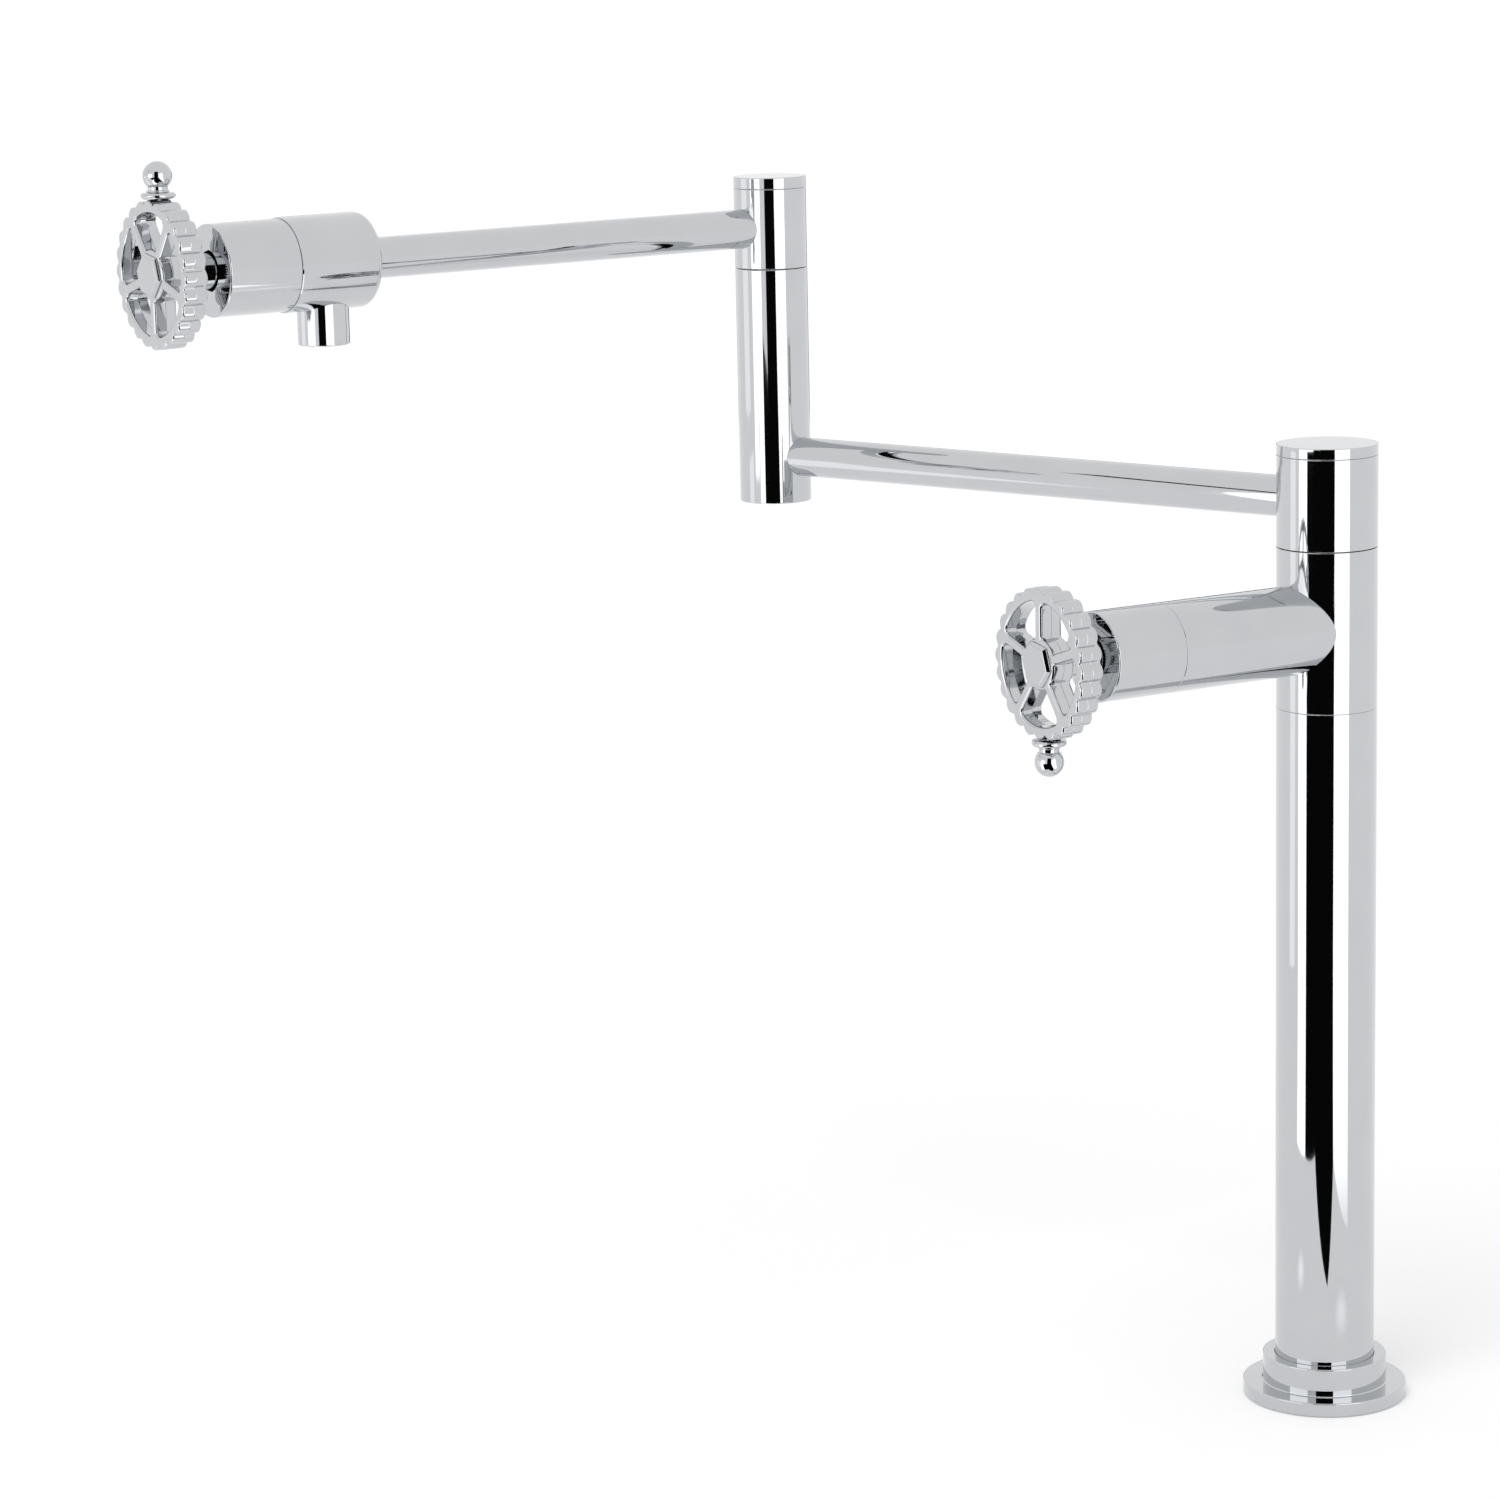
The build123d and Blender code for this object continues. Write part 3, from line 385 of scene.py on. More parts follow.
# Spout body with the socket for its nozzle
spoutSizes = {"radius": 19.05, "start": 201.0, "end": 238.0, "round": 3.0, "roundSteps": 8,
              "socketEnd": armSizes["upperEnd"], "seatBore": fits["seatBore"],
              "chamber": fits["valveChamber"], "chamberStart": 214.0, "spigot": fits["sleeveSpigot"],
              "spigotEnd": 243.0, "nozzleAt": 219.5, "nozzleSocket": 10.45, "nozzleSeat": 12.9,
              "throat": 6.5, "edge": 0.25}


def makeSpout(s):
    piece = turnedPiece("spoutBody", [
        (s["seatBore"], s["socketEnd"]), (armSocket, s["socketEnd"]), (armSocket, s["start"]),
        *arcCorners(s["radius"] - s["round"], s["start"] + s["round"], s["round"], -90, 0, s["roundSteps"]),
        (s["radius"], s["end"] - s["edge"]), (s["radius"] - s["edge"], s["end"]), (s["spigot"], s["end"]),
        (s["spigot"], s["spigotEnd"]), (s["chamber"], s["spigotEnd"]), (s["chamber"], s["chamberStart"]),
        (s["seatBore"], s["chamberStart"]),
    ], steps=256)
    putAt(piece, upperArm)
    under = -s["radius"] - longOvershoot
    seat = turnedPiece("nozzleTool", [
        (0, 0), (s["throat"], 0), (s["throat"], -s["nozzleSeat"]), (s["nozzleSocket"], -s["nozzleSeat"]),
        (s["nozzleSocket"], under), (0, under),
    ], steps=128)
    putAt(seat, nozzleAxis)
    combine(piece, seat, "DIFFERENCE")
    closeUp(piece)
    smoothFaces(piece, angle=20)
    finishPiece(piece, "upper_arm", "chrome", "spout_body")


nozzlePlace = upperArm @ Vector((0, 0, spoutSizes["nozzleAt"] * mm))
nozzleAxis = Matrix.Translation(nozzlePlace)
makeSpout(spoutSizes)


# Spout nozzle: a short sleeve under the spout body, stepped inside for its stream straightener
nozzleSizes = {"radius": spoutSizes["nozzleSocket"] - fits["slip"], "mouth": -32.8,
               "top": -spoutSizes["nozzleSeat"], "bore": 8.7, "step": -20.3, "throat": spoutSizes["throat"],
               "edge": 0.5}


def makeNozzle(s):
    piece = turnedPiece("spoutNozzle", [
        (s["radius"], s["mouth"]), (s["radius"], s["top"]), (s["throat"], s["top"]),
        (s["throat"], s["step"]), (s["bore"], s["step"]), (s["bore"], s["mouth"]),
    ], steps=160)
    roundEdges(piece, s["edge"], segments=4)
    putAt(piece, nozzleAxis)
    smoothFaces(piece)
    finishPiece(piece, "upper_arm", "chrome", "spout_nozzle")


makeNozzle(nozzleSizes)


# Valve sleeves, the same but for their diameter
sleeveSizes = {"lowerRadius": fits["branchRadius"], "upperRadius": 18.45, "length": 32.0,
               "bore": fits["sleeveSpigot"] + fits["slip"], "hole": 8.0, "holeEdge": 0.3, "endWall": 2.2,
               "frontRound": 0.7, "frontSteps": 6, "seamEdge": 0.25}


def makeSleeve(name, radius, place, s=sleeveSizes):
    end, rounding = s["length"], s["frontRound"]
    piece = turnedPiece(name, [
        (s["bore"], 0), (radius - s["seamEdge"], 0), (radius, s["seamEdge"]),
        *arcCorners(radius - rounding, end - rounding, rounding, 0, 90, s["frontSteps"]),
        (s["hole"] + s["holeEdge"], end), (s["hole"], end - s["holeEdge"]), (s["hole"], end - s["endWall"]),
        (s["bore"], end - s["endWall"]),
    ], steps=192)
    putAt(piece, place)
    smoothFaces(piece)
    return piece


finishPiece(makeSleeve("lowerValveSleeve", sleeveSizes["lowerRadius"], lowerValve),
            "column", "chrome", "lower_valve_sleeve")
finishPiece(makeSleeve("upperValveSleeve", sleeveSizes["upperRadius"], upperValve),
            "upper_arm", "chrome", "upper_valve_sleeve")
print("spout and sleeves made")


# Hand wheel: a cast cog with five windows, modelled once about its own axis. Five of its sizes are shares:
# lobeShare of a pitch, lobeDrop of a lobe's depth, draft and flash of the radius, firstSpoke of a turn
wheelSizes = {"radius": 29.5, "lobes": 24, "lobeDepth": 1.7, "lobeShare": 0.76, "lobeDrop": 0.7,
              "samples": 24, "back": 47.7, "front": 57.7, "draft": 0.008, "flash": 0.0025,
              "flashHalf": 0.18, "rimInner": 24.1, "hub": 10.3, "spokes": 5, "firstSpoke": 0.25,
              "spokeWidth": 4.4, "outerRound": 2.2, "outerSteps": 8, "innerRound": 1.0, "innerSteps": 6,
              "rimSteps": 16, "hubSteps": 8, "wallDraft": 0.2, "wallFlash": 0.07, "edge": 1.2,
              "edgeSteps": 5, "boss": 7.1, "bossBack": 27.5, "stemHole": 4.2, "stemHoleEnd": 50.4,
              "screwHole": 2.05, "pocket": 4.7, "pocketFloor": 52.4, "studHole": 1.55, "studStart": 26.25}


def selectPoints(piece, wanted):
    # Selects the vertices whose place the test accepts, and stays in edit mode
    onlyActive(piece)
    bpy.ops.object.mode_set(mode="EDIT")
    bpy.ops.mesh.select_mode(type="VERT")
    bpy.ops.mesh.select_all(action="DESELECT")
    bpy.ops.object.mode_set(mode="OBJECT")
    for vertex in piece.data.vertices:
        vertex.select = wanted(vertex.co)
    bpy.ops.object.mode_set(mode="EDIT")


def lobeRadius(share, s):
    # Radius of the cog's outline at a share of one pitch from a lobe's tip: a round lobe, then a groove
    fromTip = min(share, 1 - share)
    halfLobe = s["lobeShare"] / 2
    lobeDrop = s["lobeDrop"] * s["lobeDepth"]
    if fromTip <= halfLobe:
        return s["radius"] - lobeDrop * (fromTip / halfLobe) ** 2
    fromGroove = (0.5 - fromTip) / (0.5 - halfLobe)
    return s["radius"] - s["lobeDepth"] + (s["lobeDepth"] - lobeDrop) * fromGroove ** 2


def makeCog(s):
    # Lobes are pulled in from a circle, then the blank is drawn up with its draft and the mould's line
    bpy.ops.object.select_all(action="DESELECT")
    bpy.ops.mesh.primitive_circle_add(
        vertices=s["lobes"] * s["samples"], radius=s["radius"] * mm, fill_type="NGON",
        location=(0, 0, s["back"] * mm),
    )
    cog = bpy.context.object
    bpy.ops.object.transform_apply(location=True, rotation=True, scale=True)
    step = math.tau / s["lobes"] / s["samples"]
    for sample in range(s["samples"]):
        selectPoints(cog, lambda place: round(math.atan2(place.y, place.x) / step) % s["samples"] == sample)
        size = lobeRadius(sample / s["samples"], s) / s["radius"]
        bpy.ops.transform.resize(value=(size, size, 1))
        bpy.ops.object.mode_set(mode="OBJECT")
    middle = (s["back"] + s["front"]) / 2
    levels = ((s["back"], 1 - s["draft"]), (middle - s["flashHalf"], 1 - s["flash"]), (middle, 1.0),
              (middle + s["flashHalf"], 1 - s["flash"]), (s["front"], 1 - s["draft"]))
    editAll(cog)
    height, width = s["back"], 1.0
    for number, (nextHeight, nextWidth) in enumerate(levels):
        if number:
            rise = (0, 0, (nextHeight - height) * mm)
            bpy.ops.mesh.extrude_region_move(TRANSFORM_OT_translate={"value": rise})
        ratio = nextWidth / width
        bpy.ops.transform.resize(value=(ratio, ratio, 1), center_override=(0, 0, nextHeight * mm))
        height, width = nextHeight, nextWidth
    bpy.ops.object.mode_set(mode="OBJECT")
    closeUp(cog)
    roundEdges(cog, s["edge"], segments=5, angle=60)  # both faces' edges, not the grooves
    return cog


def windowOutline(grow, height, s):
    # One window between two spokes, its outline moved outwards by grow, as corners at a height
    pitch = math.tau / s["spokes"]
    side = s["spokeWidth"] / 2 - grow
    inner, outer = s["innerRound"] + grow, s["outerRound"] + grow
    hub, rim = s["hub"] - grow, s["rimInner"] + grow
    innerAcross = math.sqrt((hub + inner) ** 2 - (side + inner) ** 2)
    outerAcross = math.sqrt((rim - outer) ** 2 - (side + outer) ** 2)
    innerTurn = math.degrees(math.atan2(side + inner, innerAcross))
    outerTurn = math.degrees(math.atan2(side + outer, outerAcross))
    half = arcCorners(innerAcross, side + inner, inner, innerTurn + 180, 270, s["innerSteps"])
    half += arcCorners(outerAcross, side + outer, outer, -90, outerTurn, s["outerSteps"])
    farTurn = math.degrees(pitch)
    outline = half + arcCorners(0, 0, rim, outerTurn, farTurn - outerTurn, s["rimSteps"])[1:-1]
    for x, y in reversed(half):
        turn = 2 * math.atan2(y, x)
        outline.append((x * math.cos(pitch - turn) - y * math.sin(pitch - turn),
                        x * math.sin(pitch - turn) + y * math.cos(pitch - turn)))
    outline += arcCorners(0, 0, hub, farTurn - innerTurn, innerTurn, s["hubSteps"])[1:-1]
    return [(x, y, height) for x, y in outline]


def makeWindowTool(s):
    # Loops at rising heights, bridged: rounded at both faces, with draft and the mould's line between
    middle = (s["back"] + s["front"]) / 2
    upper = [(middle + s["flashHalf"], 0.0)]
    for number in range(s["edgeSteps"] + 1):
        turn = math.pi / 2 * number / s["edgeSteps"]
        upper.append((s["front"] - s["edge"] * (1 - math.sin(turn)),
                      s["wallDraft"] + s["edge"] * (1 - math.cos(turn))))
    upper.append((s["front"] + overshoot, upper[-1][1]))
    lower = [(2 * middle - height, grow) for height, grow in reversed(upper)]
    levels = lower + [(middle, -s["wallFlash"])] + upper
    loops = [drawnLine("windowTool", windowOutline(grow, height, s), True) for height, grow in levels]
    bpy.ops.object.select_all(action="DESELECT")
    for loop in loops:
        loop.select_set(True)
    tool = loops[0]
    bpy.context.view_layer.objects.active = tool
    bpy.ops.object.join()
    bpy.ops.object.mode_set(mode="EDIT")
    bpy.ops.mesh.select_mode(type="EDGE")
    bpy.ops.mesh.select_all(action="SELECT")
    bpy.ops.mesh.bridge_edge_loops(type="SINGLE")
    for height, grow in (levels[0], levels[-1]):
        bpy.ops.object.mode_set(mode="OBJECT")
        selectPoints(tool, lambda place: abs(place.z - height * mm) < doubleGap)
        bpy.ops.mesh.edge_face_add()
    bpy.ops.object.mode_set(mode="OBJECT")
    closeUp(tool)
    return tool


def copyOf(piece, name, place):
    twin = piece.copy()
    twin.data = piece.data.copy()
    twin.name = name
    bpy.context.collection.objects.link(twin)
    putAt(twin, place)
    return twin


def makeWheel(s):
    piece = makeCog(s)
    window = makeWindowTool(s)
    for spoke in range(s["spokes"]):
        turn = math.tau * (spoke / s["spokes"] + s["firstSpoke"])
        combine(piece, copyOf(window, "windowCopy", Matrix.Rotation(turn, 4, "Z")), "DIFFERENCE")
    bpy.data.objects.remove(window)
    boss = rod("bossTool", s["boss"], s["bossBack"], s["back"] + overshoot, steps=96)
    combine(piece, boss, "UNION")
    behind, before = s["bossBack"] - overshoot, s["front"] + overshoot
    bore = turnedPiece("boreTool", [
        (0, behind), (s["stemHole"], behind), (s["stemHole"], s["stemHoleEnd"]),
        (s["screwHole"], s["stemHoleEnd"]), (s["screwHole"], s["pocketFloor"]),
        (s["pocket"], s["pocketFloor"]), (s["pocket"], before), (0, before),
    ], steps=64)
    combine(piece, bore, "DIFFERENCE")
    stud = rod("studTool", s["studHole"], s["studStart"], s["radius"] + overshoot, steps=32)
    putAt(stud, outOfRim)
    combine(piece, stud, "DIFFERENCE")
    closeUp(piece)
    smoothFaces(piece, angle=24)
    return piece


wheelMiddle = (wheelSizes["back"] + wheelSizes["front"]) / 2 * mm
outOfRim = Matrix.Translation((0, 0, wheelMiddle)) @ Matrix.Rotation(math.pi / 2, 4, "X")
handWheel = makeWheel(wheelSizes)
print("hand wheel made")


# Finial: a lens-shaped collar, a ring and a waist under a ball
finialSizes = {"seat": wheelSizes["radius"] + fits["slip"], "studEnd": 26.35,
               "stud": wheelSizes["studHole"] - fits["slip"], "collar": 6.8, "collarHeight": 2.5,
               "collarSteps": 10, "ring": 4.5, "ringHeight": 0.9, "ringFoot": -60, "ringSteps": 6,
               "waist": 3.95, "waistStep": 0.1, "ball": 5.75, "ballCentre": 38.4, "ballSteps": 24}


def makeFinial(s):
    collarHalf, ringHalf = s["collarHeight"] / 2, s["ringHeight"] / 2
    collarMiddle = s["seat"] + collarHalf
    ringMiddle = s["seat"] + s["collarHeight"] + ringHalf
    ballFoot = math.degrees(math.acos(s["waist"] / s["ball"]))
    piece = turnedPiece("finial", [
        (0, s["studEnd"]), (s["stud"], s["studEnd"]), (s["stud"], s["seat"]),
        *arcCorners(s["collar"] - collarHalf, collarMiddle, collarHalf, -90, 90, s["collarSteps"]),
        *arcCorners(s["ring"] - ringHalf, ringMiddle, ringHalf, s["ringFoot"], 90, s["ringSteps"]),
        (s["waist"], ringMiddle + ringHalf + s["waistStep"]),
        *arcCorners(0, s["ballCentre"], s["ball"], -ballFoot, 90, s["ballSteps"])[:-1],
        (0, s["ballCentre"] + s["ball"]),
    ], steps=64)
    putAt(piece, outOfRim)
    smoothFaces(piece, angle=35)
    return piece


finial = makeFinial(finialSizes)


# Hub cap: a low hexagon with six sloping sides round a flat face, and a round plug behind
capSizes = {"corner": 9.3, "faceCorner": 8.1, "back": wheelSizes["front"], "wall": 0.4, "height": 1.8,
            "turn": -100.0, "edge": 0.2, "plug": wheelSizes["pocket"] - fits["slip"], "plugLength": 2.2}


def makeHubCap(s):
    bpy.ops.object.select_all(action="DESELECT")
    bpy.ops.mesh.primitive_cylinder_add(
        vertices=6, radius=s["corner"] * mm, depth=s["wall"] * mm,
        location=(0, 0, (s["back"] + s["wall"] / 2) * mm),
    )
    piece = bpy.context.object
    putAt(piece, Matrix.Rotation(math.radians(s["turn"]), 4, "Z"))
    selectPoints(piece, lambda place: place.z > (s["back"] + s["wall"] / 2) * mm)
    rise = (0, 0, (s["height"] - s["wall"]) * mm)
    bpy.ops.mesh.extrude_region_move(TRANSFORM_OT_translate={"value": rise})
    narrower = s["faceCorner"] / s["corner"]
    bpy.ops.transform.resize(value=(narrower, narrower, 1), center_override=(0, 0, s["back"] * mm))
    bpy.ops.object.mode_set(mode="OBJECT")
    closeUp(piece)
    roundEdges(piece, s["edge"], angle=20)
    plug = rod("plugTool", s["plug"], s["back"] - s["plugLength"], s["back"] + s["height"] / 2)
    combine(piece, plug, "UNION")
    closeUp(piece)
    smoothFaces(piece)
    return piece


hubCap = makeHubCap(capSizes)

# The upper valve carries the same three pieces turned half round, so that its finial stands up
halfTurn = Matrix.Rotation(math.pi, 4, "Z")
patterns = {"HandWheel": (handWheel, "_hand_wheel"), "Finial": (finial, "_finial"),
            "HubCap": (hubCap, "_hub_cap")}
for side, place in (("lower", lowerValve), ("upper", upperValve @ halfTurn)):
    for name, (pattern, nodeEnd) in patterns.items():
        finishPiece(copyOf(pattern, side + name, place), side + "_handle", "chrome", side + nodeEnd)
for pattern, nodeEnd in patterns.values():
    bpy.data.objects.remove(pattern)
print("wheels, finials and hub caps placed")


# Mounting shank: a threaded rod with a smaller threaded inlet, cut to length inside a turned envelope
shankSizes = {"radius": fits["shankRadius"], "top": 21.6, "bottom": -61.0, "pitch": 2.0, "threadDepth": 1.1,
              "inlet": 10.475, "inletBottom": -75.0, "inletPitch": 1.814, "inletDepth": 0.95,
              "inletOverlap": 0.5, "bore": fits["waterBore"], "socket": fits["riserSocket"],
              "socketFloor": 3.6, "edge": 1.0}
threadShape = {"crestDrop": 0.1, "crestHalf": 0.06, "steps": 48, "spareTurns": 3}


def threadedRod(name, radius, depth, pitch, start, end, t=threadShape):
    # One tooth screwed upwards from below the start, then both ends cut flat and filled
    crest, root = radius - t["crestDrop"] * depth, radius - depth
    piece = drawnLine(name, [
        (root, 0, start - 2 * pitch), (crest, 0, start - (1.5 + t["crestHalf"]) * pitch),
        (crest, 0, start - (1.5 - t["crestHalf"]) * pitch), (root, 0, start - pitch),
    ])
    useModifier(
        piece, "SCREW", axis="Z", angle=math.tau, screw_offset=pitch * mm, steps=t["steps"],
        render_steps=t["steps"], iterations=math.ceil((end - start) / pitch) + t["spareTurns"],
        use_merge_vertices=True, merge_threshold=doubleGap, use_normal_calculate=True,
    )
    for height, outwards in ((start, -1), (end, 1)):
        editAll(piece)
        bpy.ops.mesh.bisect(
            plane_co=(0, 0, height * mm), plane_no=(0, 0, outwards), use_fill=True, clear_outer=True,
            threshold=doubleGap / 2,
        )
        bpy.ops.object.mode_set(mode="OBJECT")
    closeUp(piece)
    return piece


def makeShank(s):
    piece = threadedRod("mountingShank", s["radius"], s["threadDepth"], s["pitch"], s["bottom"], s["top"])
    above, below, end = s["top"] + overshoot, s["bottom"] - longOvershoot, s["radius"] - s["edge"]
    envelope = turnedPiece("shankEnvelope", [
        (s["bore"], below), (end, below), (end, s["bottom"]), (s["radius"], s["bottom"] + s["edge"]),
        (s["radius"], above), (s["socket"], above), (s["socket"], s["socketFloor"]),
        (s["bore"], s["socketFloor"]),
    ], steps=96)
    combine(piece, envelope, "INTERSECT")
    inlet = threadedRod("inletTool", s["inlet"], s["inletDepth"], s["inletPitch"],
                        s["inletBottom"], s["bottom"] + s["inletOverlap"])
    above, below, end = s["bottom"] + overshoot, s["inletBottom"] - overshoot, s["inlet"] - s["edge"]
    inletEnvelope = turnedPiece("inletEnvelope", [
        (s["bore"], below), (end - s["edge"], below), (end, s["inletBottom"]),
        (s["inlet"], s["inletBottom"] + s["edge"]), (s["inlet"], above), (s["bore"], above),
    ], steps=96)
    combine(inlet, inletEnvelope, "INTERSECT")
    combine(piece, inlet, "UNION")
    closeUp(piece)
    smoothFaces(piece)
    finishPiece(piece, "column", "brass", "mounting_shank")


makeShank(shankSizes)


# Locknut: a hexagon with turned corners
locknutSizes = {"flats": 38.0, "bottom": -45.0, "top": -35.0, "bore": fits["shankRadius"] + fits["slip"],
                "edge": 0.3, "lead": 0.8, "faceInset": 0.4, "cornerRoom": 0.1}


def makeLocknut(s):
    corner = s["flats"] / 2 / math.cos(math.pi / 6)
    drop = (corner - s["flats"] / 2) / 2
    face, outside, lead = s["flats"] / 2 - s["faceInset"], corner + s["cornerRoom"], s["bore"] + s["lead"]
    bpy.ops.object.select_all(action="DESELECT")
    bpy.ops.mesh.primitive_cylinder_add(
        vertices=6, radius=corner * mm, depth=(s["top"] - s["bottom"]) * mm,
        location=(0, 0, (s["top"] + s["bottom"]) / 2 * mm), rotation=(0, 0, math.pi / 6),
    )
    piece = bpy.context.object
    piece.name = "deckLocknut"
    putAt(piece, Matrix.Identity(4))
    roundEdges(piece, s["edge"])
    envelope = turnedPiece("locknutEnvelope", [
        (lead, s["bottom"]), (face, s["bottom"]), (outside, s["bottom"] + drop), (outside, s["top"] - drop),
        (face, s["top"]), (lead, s["top"]), (s["bore"], s["top"] - s["lead"]),
        (s["bore"], s["bottom"] + s["lead"]),
    ], steps=120)
    combine(piece, envelope, "INTERSECT")
    closeUp(piece)
    smoothFaces(piece)
    finishPiece(piece, "column", "brass", "deck_locknut")


makeLocknut(locknutSizes)


# Clamp washers
steelWasherSizes = {"radius": 25.0, "bore": fits["shankBore"], "bottom": locknutSizes["top"], "top": -33.0,
                    "edge": 0.3}
rubberWasherSizes = {"radius": 24.0, "bore": fits["shankBore"], "bottom": steelWasherSizes["top"],
                     "top": -30.0, "edge": 0.6}


def makeWasher(name, s):
    piece = turnedPiece(name, [
        (s["bore"], s["bottom"]), (s["radius"], s["bottom"]),
        (s["radius"], s["top"]), (s["bore"], s["top"]),
    ], steps=128)
    roundEdges(piece, s["edge"])
    smoothFaces(piece)
    return piece


finishPiece(makeWasher("steelWasher", steelWasherSizes), "column", "stainless", "steel_clamp_washer")
finishPiece(makeWasher("rubberWasher", rubberWasherSizes), "column", "rubber", "rubber_clamp_washer")
print("under-deck pieces made")


# Materials

def hexColour(code):
    # An sRGB hex colour as the linear one that sockets take
    values = [int(code[place:place + 2], 16) / 255 for place in (1, 3, 5)]
    return [v / 12.92 if v <= 0.04045 else ((v + 0.055) / 1.055) ** 2.4 for v in values] + [1.0]


def addNode(tree, kind, inputs=None, **settings):
    # Adds a node with its settings, and links or sets its inputs
    node = tree.nodes.new(kind)
    for name, value in settings.items():
        setattr(node, name, value)
    for socket, value in (inputs or {}).items():
        if isinstance(value, bpy.types.NodeSocket):
            tree.links.new(value, node.inputs[socket])
        else:
            node.inputs[socket].default_value = value
    return node


def perMetre(period):
    # Texture scale for a feature of this many mm
    return 1 / (period * mm)


def newMaterial(name):
    # An empty material, its node tree and the Object coordinates that its patterns lie on
    material = bpy.data.materials.new(name)
    material.use_nodes = True
    tree = material.node_tree
    tree.nodes.clear()
    return material, tree, addNode(tree, "ShaderNodeTexCoord").outputs["Object"]


def noise(tree, place, period, detail):
    # A noise whose features are about the period in mm
    return addNode(tree, "ShaderNodeTexNoise", {
        "Vector": place, "Scale": perMetre(period), "Detail": detail,
    }).outputs["Fac"]


noiseLow, noiseHigh = 0.3, 0.7  # nearly all of a noise lies between these


def addSkin(tree, patches, colours, roughness, relief, height, strength=1.0, extra=None):
    # What most finishes share: two colours and two roughnesses that follow one pattern, and bumps that
    # follow another up to a height in mm
    tint = addNode(tree, "ShaderNodeMix", {
        "Factor": patches, "A": hexColour(colours[0]), "B": hexColour(colours[1]),
    }, data_type="RGBA")
    rough = addNode(tree, "ShaderNodeMapRange", {
        "Value": patches, "From Min": noiseLow, "From Max": noiseHigh,
        "To Min": roughness[0], "To Max": roughness[1],
    })
    bump = addNode(tree, "ShaderNodeBump", {
        "Height": relief, "Strength": strength, "Distance": height * mm,
    })
    shader = addNode(tree, "ShaderNodeBsdfPrincipled", {
        "Base Color": tint.outputs["Result"], "Roughness": rough.outputs["Result"],
        "Normal": bump.outputs["Normal"], **(extra or {}),
    })
    addNode(tree, "ShaderNodeOutputMaterial", {"Surface": shader.outputs["BSDF"]})


metal = {"Metallic": 1.0}


def polishedChrome(name, waviness, waveHeight, roughLow, roughHigh):
    # Nickel and chrome plate over buffed brass: a cool near-mirror whose reflections waver very slightly
    # where the buffing wheel left the surface uneven, with a faint haze that comes and goes
    material, tree, place = newMaterial(name)
    haze = noise(tree, place, 18.0, 3.0)
    wave = noise(tree, place, waviness, 1.0)
    addSkin(tree, haze, ("#C1C3C6", "#C8CACC"), (roughLow, roughHigh), wave, waveHeight, extra=metal)
    return material


def platedCasting(name):
    # Chrome plate over a die casting: the same mirror with the softer, more uneven skin of the casting
    return polishedChrome(name, waviness=5.0, waveHeight=0.012, roughLow=0.04, roughHigh=0.08)


wavePeriod = math.pi / 10  # what a wave texture's bands measure at a scale of 1


def turnedBrass(name, azimuth=None):
    # Free-cutting brass as it leaves the lathe: satin gold with fine rings round the axis and dull patches
    # The real tool marks are about 0.1 mm apart, drawn here at 0.4 mm so that they show
    # An upright part has its rings along Z, a level one along the direction of its azimuth
    material, tree, place = newMaterial(name)
    turned = addNode(tree, "ShaderNodeMapping", {"Vector": place, "Rotation": (0, 0, -(azimuth or 0))})
    rings = addNode(tree, "ShaderNodeTexWave", {
        "Vector": turned.outputs["Vector"], "Scale": perMetre(0.4) * wavePeriod,
        "Distortion": 0.3, "Detail": 1.0,
    }, wave_type="BANDS", bands_direction="Z" if azimuth is None else "X")
    patches = noise(tree, place, 7.0, 4.0)
    addSkin(tree, patches, ("#C29F5B", "#E0C386"), (0.22, 0.34), rings.outputs["Fac"], 0.01, extra=metal)
    return material


def stampedSteel(name):
    # Cold-rolled stainless, stamped or drawn: a grey satin with fine lines one way from the rolls
    # The lines are about 0.05 mm apart, drawn at 0.35 mm
    material, tree, place = newMaterial(name)
    drawn = addNode(tree, "ShaderNodeMapping", {"Vector": place, "Scale": (1.0, 0.06, 1.0)})
    lines = noise(tree, drawn.outputs["Vector"], 0.35, 2.0)
    addSkin(tree, lines, ("#A0A1A2", "#C8C9C9"), (0.26, 0.38), lines, 0.006, extra=metal)
    return material


def nitrileRubber(name):
    # Moulded black nitrile rubber: deep grey and dull, with a fine bloom and the mould's fine grain
    # The grain is about 0.1 mm, drawn at 0.5 mm
    material, tree, place = newMaterial(name)
    bloom = noise(tree, place, 6.0, 4.0)
    grain = noise(tree, place, 0.5, 2.0)
    addSkin(tree, bloom, ("#161616", "#2E2E2D"), (0.55, 0.72), grain, 0.02, strength=0.6)
    return material


def mouldedAcetal(name):
    # Moulded natural acetal: milky white and slightly waxy, lighter and darker in slow drifts
    material, tree, place = newMaterial(name)
    drift = noise(tree, place, 9.0, 2.0)
    grain = noise(tree, place, 0.8, 2.0)
    addSkin(tree, drift, ("#D8D7CF", "#EDECE6"), (0.34, 0.46), grain, 0.01, strength=0.5,
            extra={"IOR": 1.48})
    return material


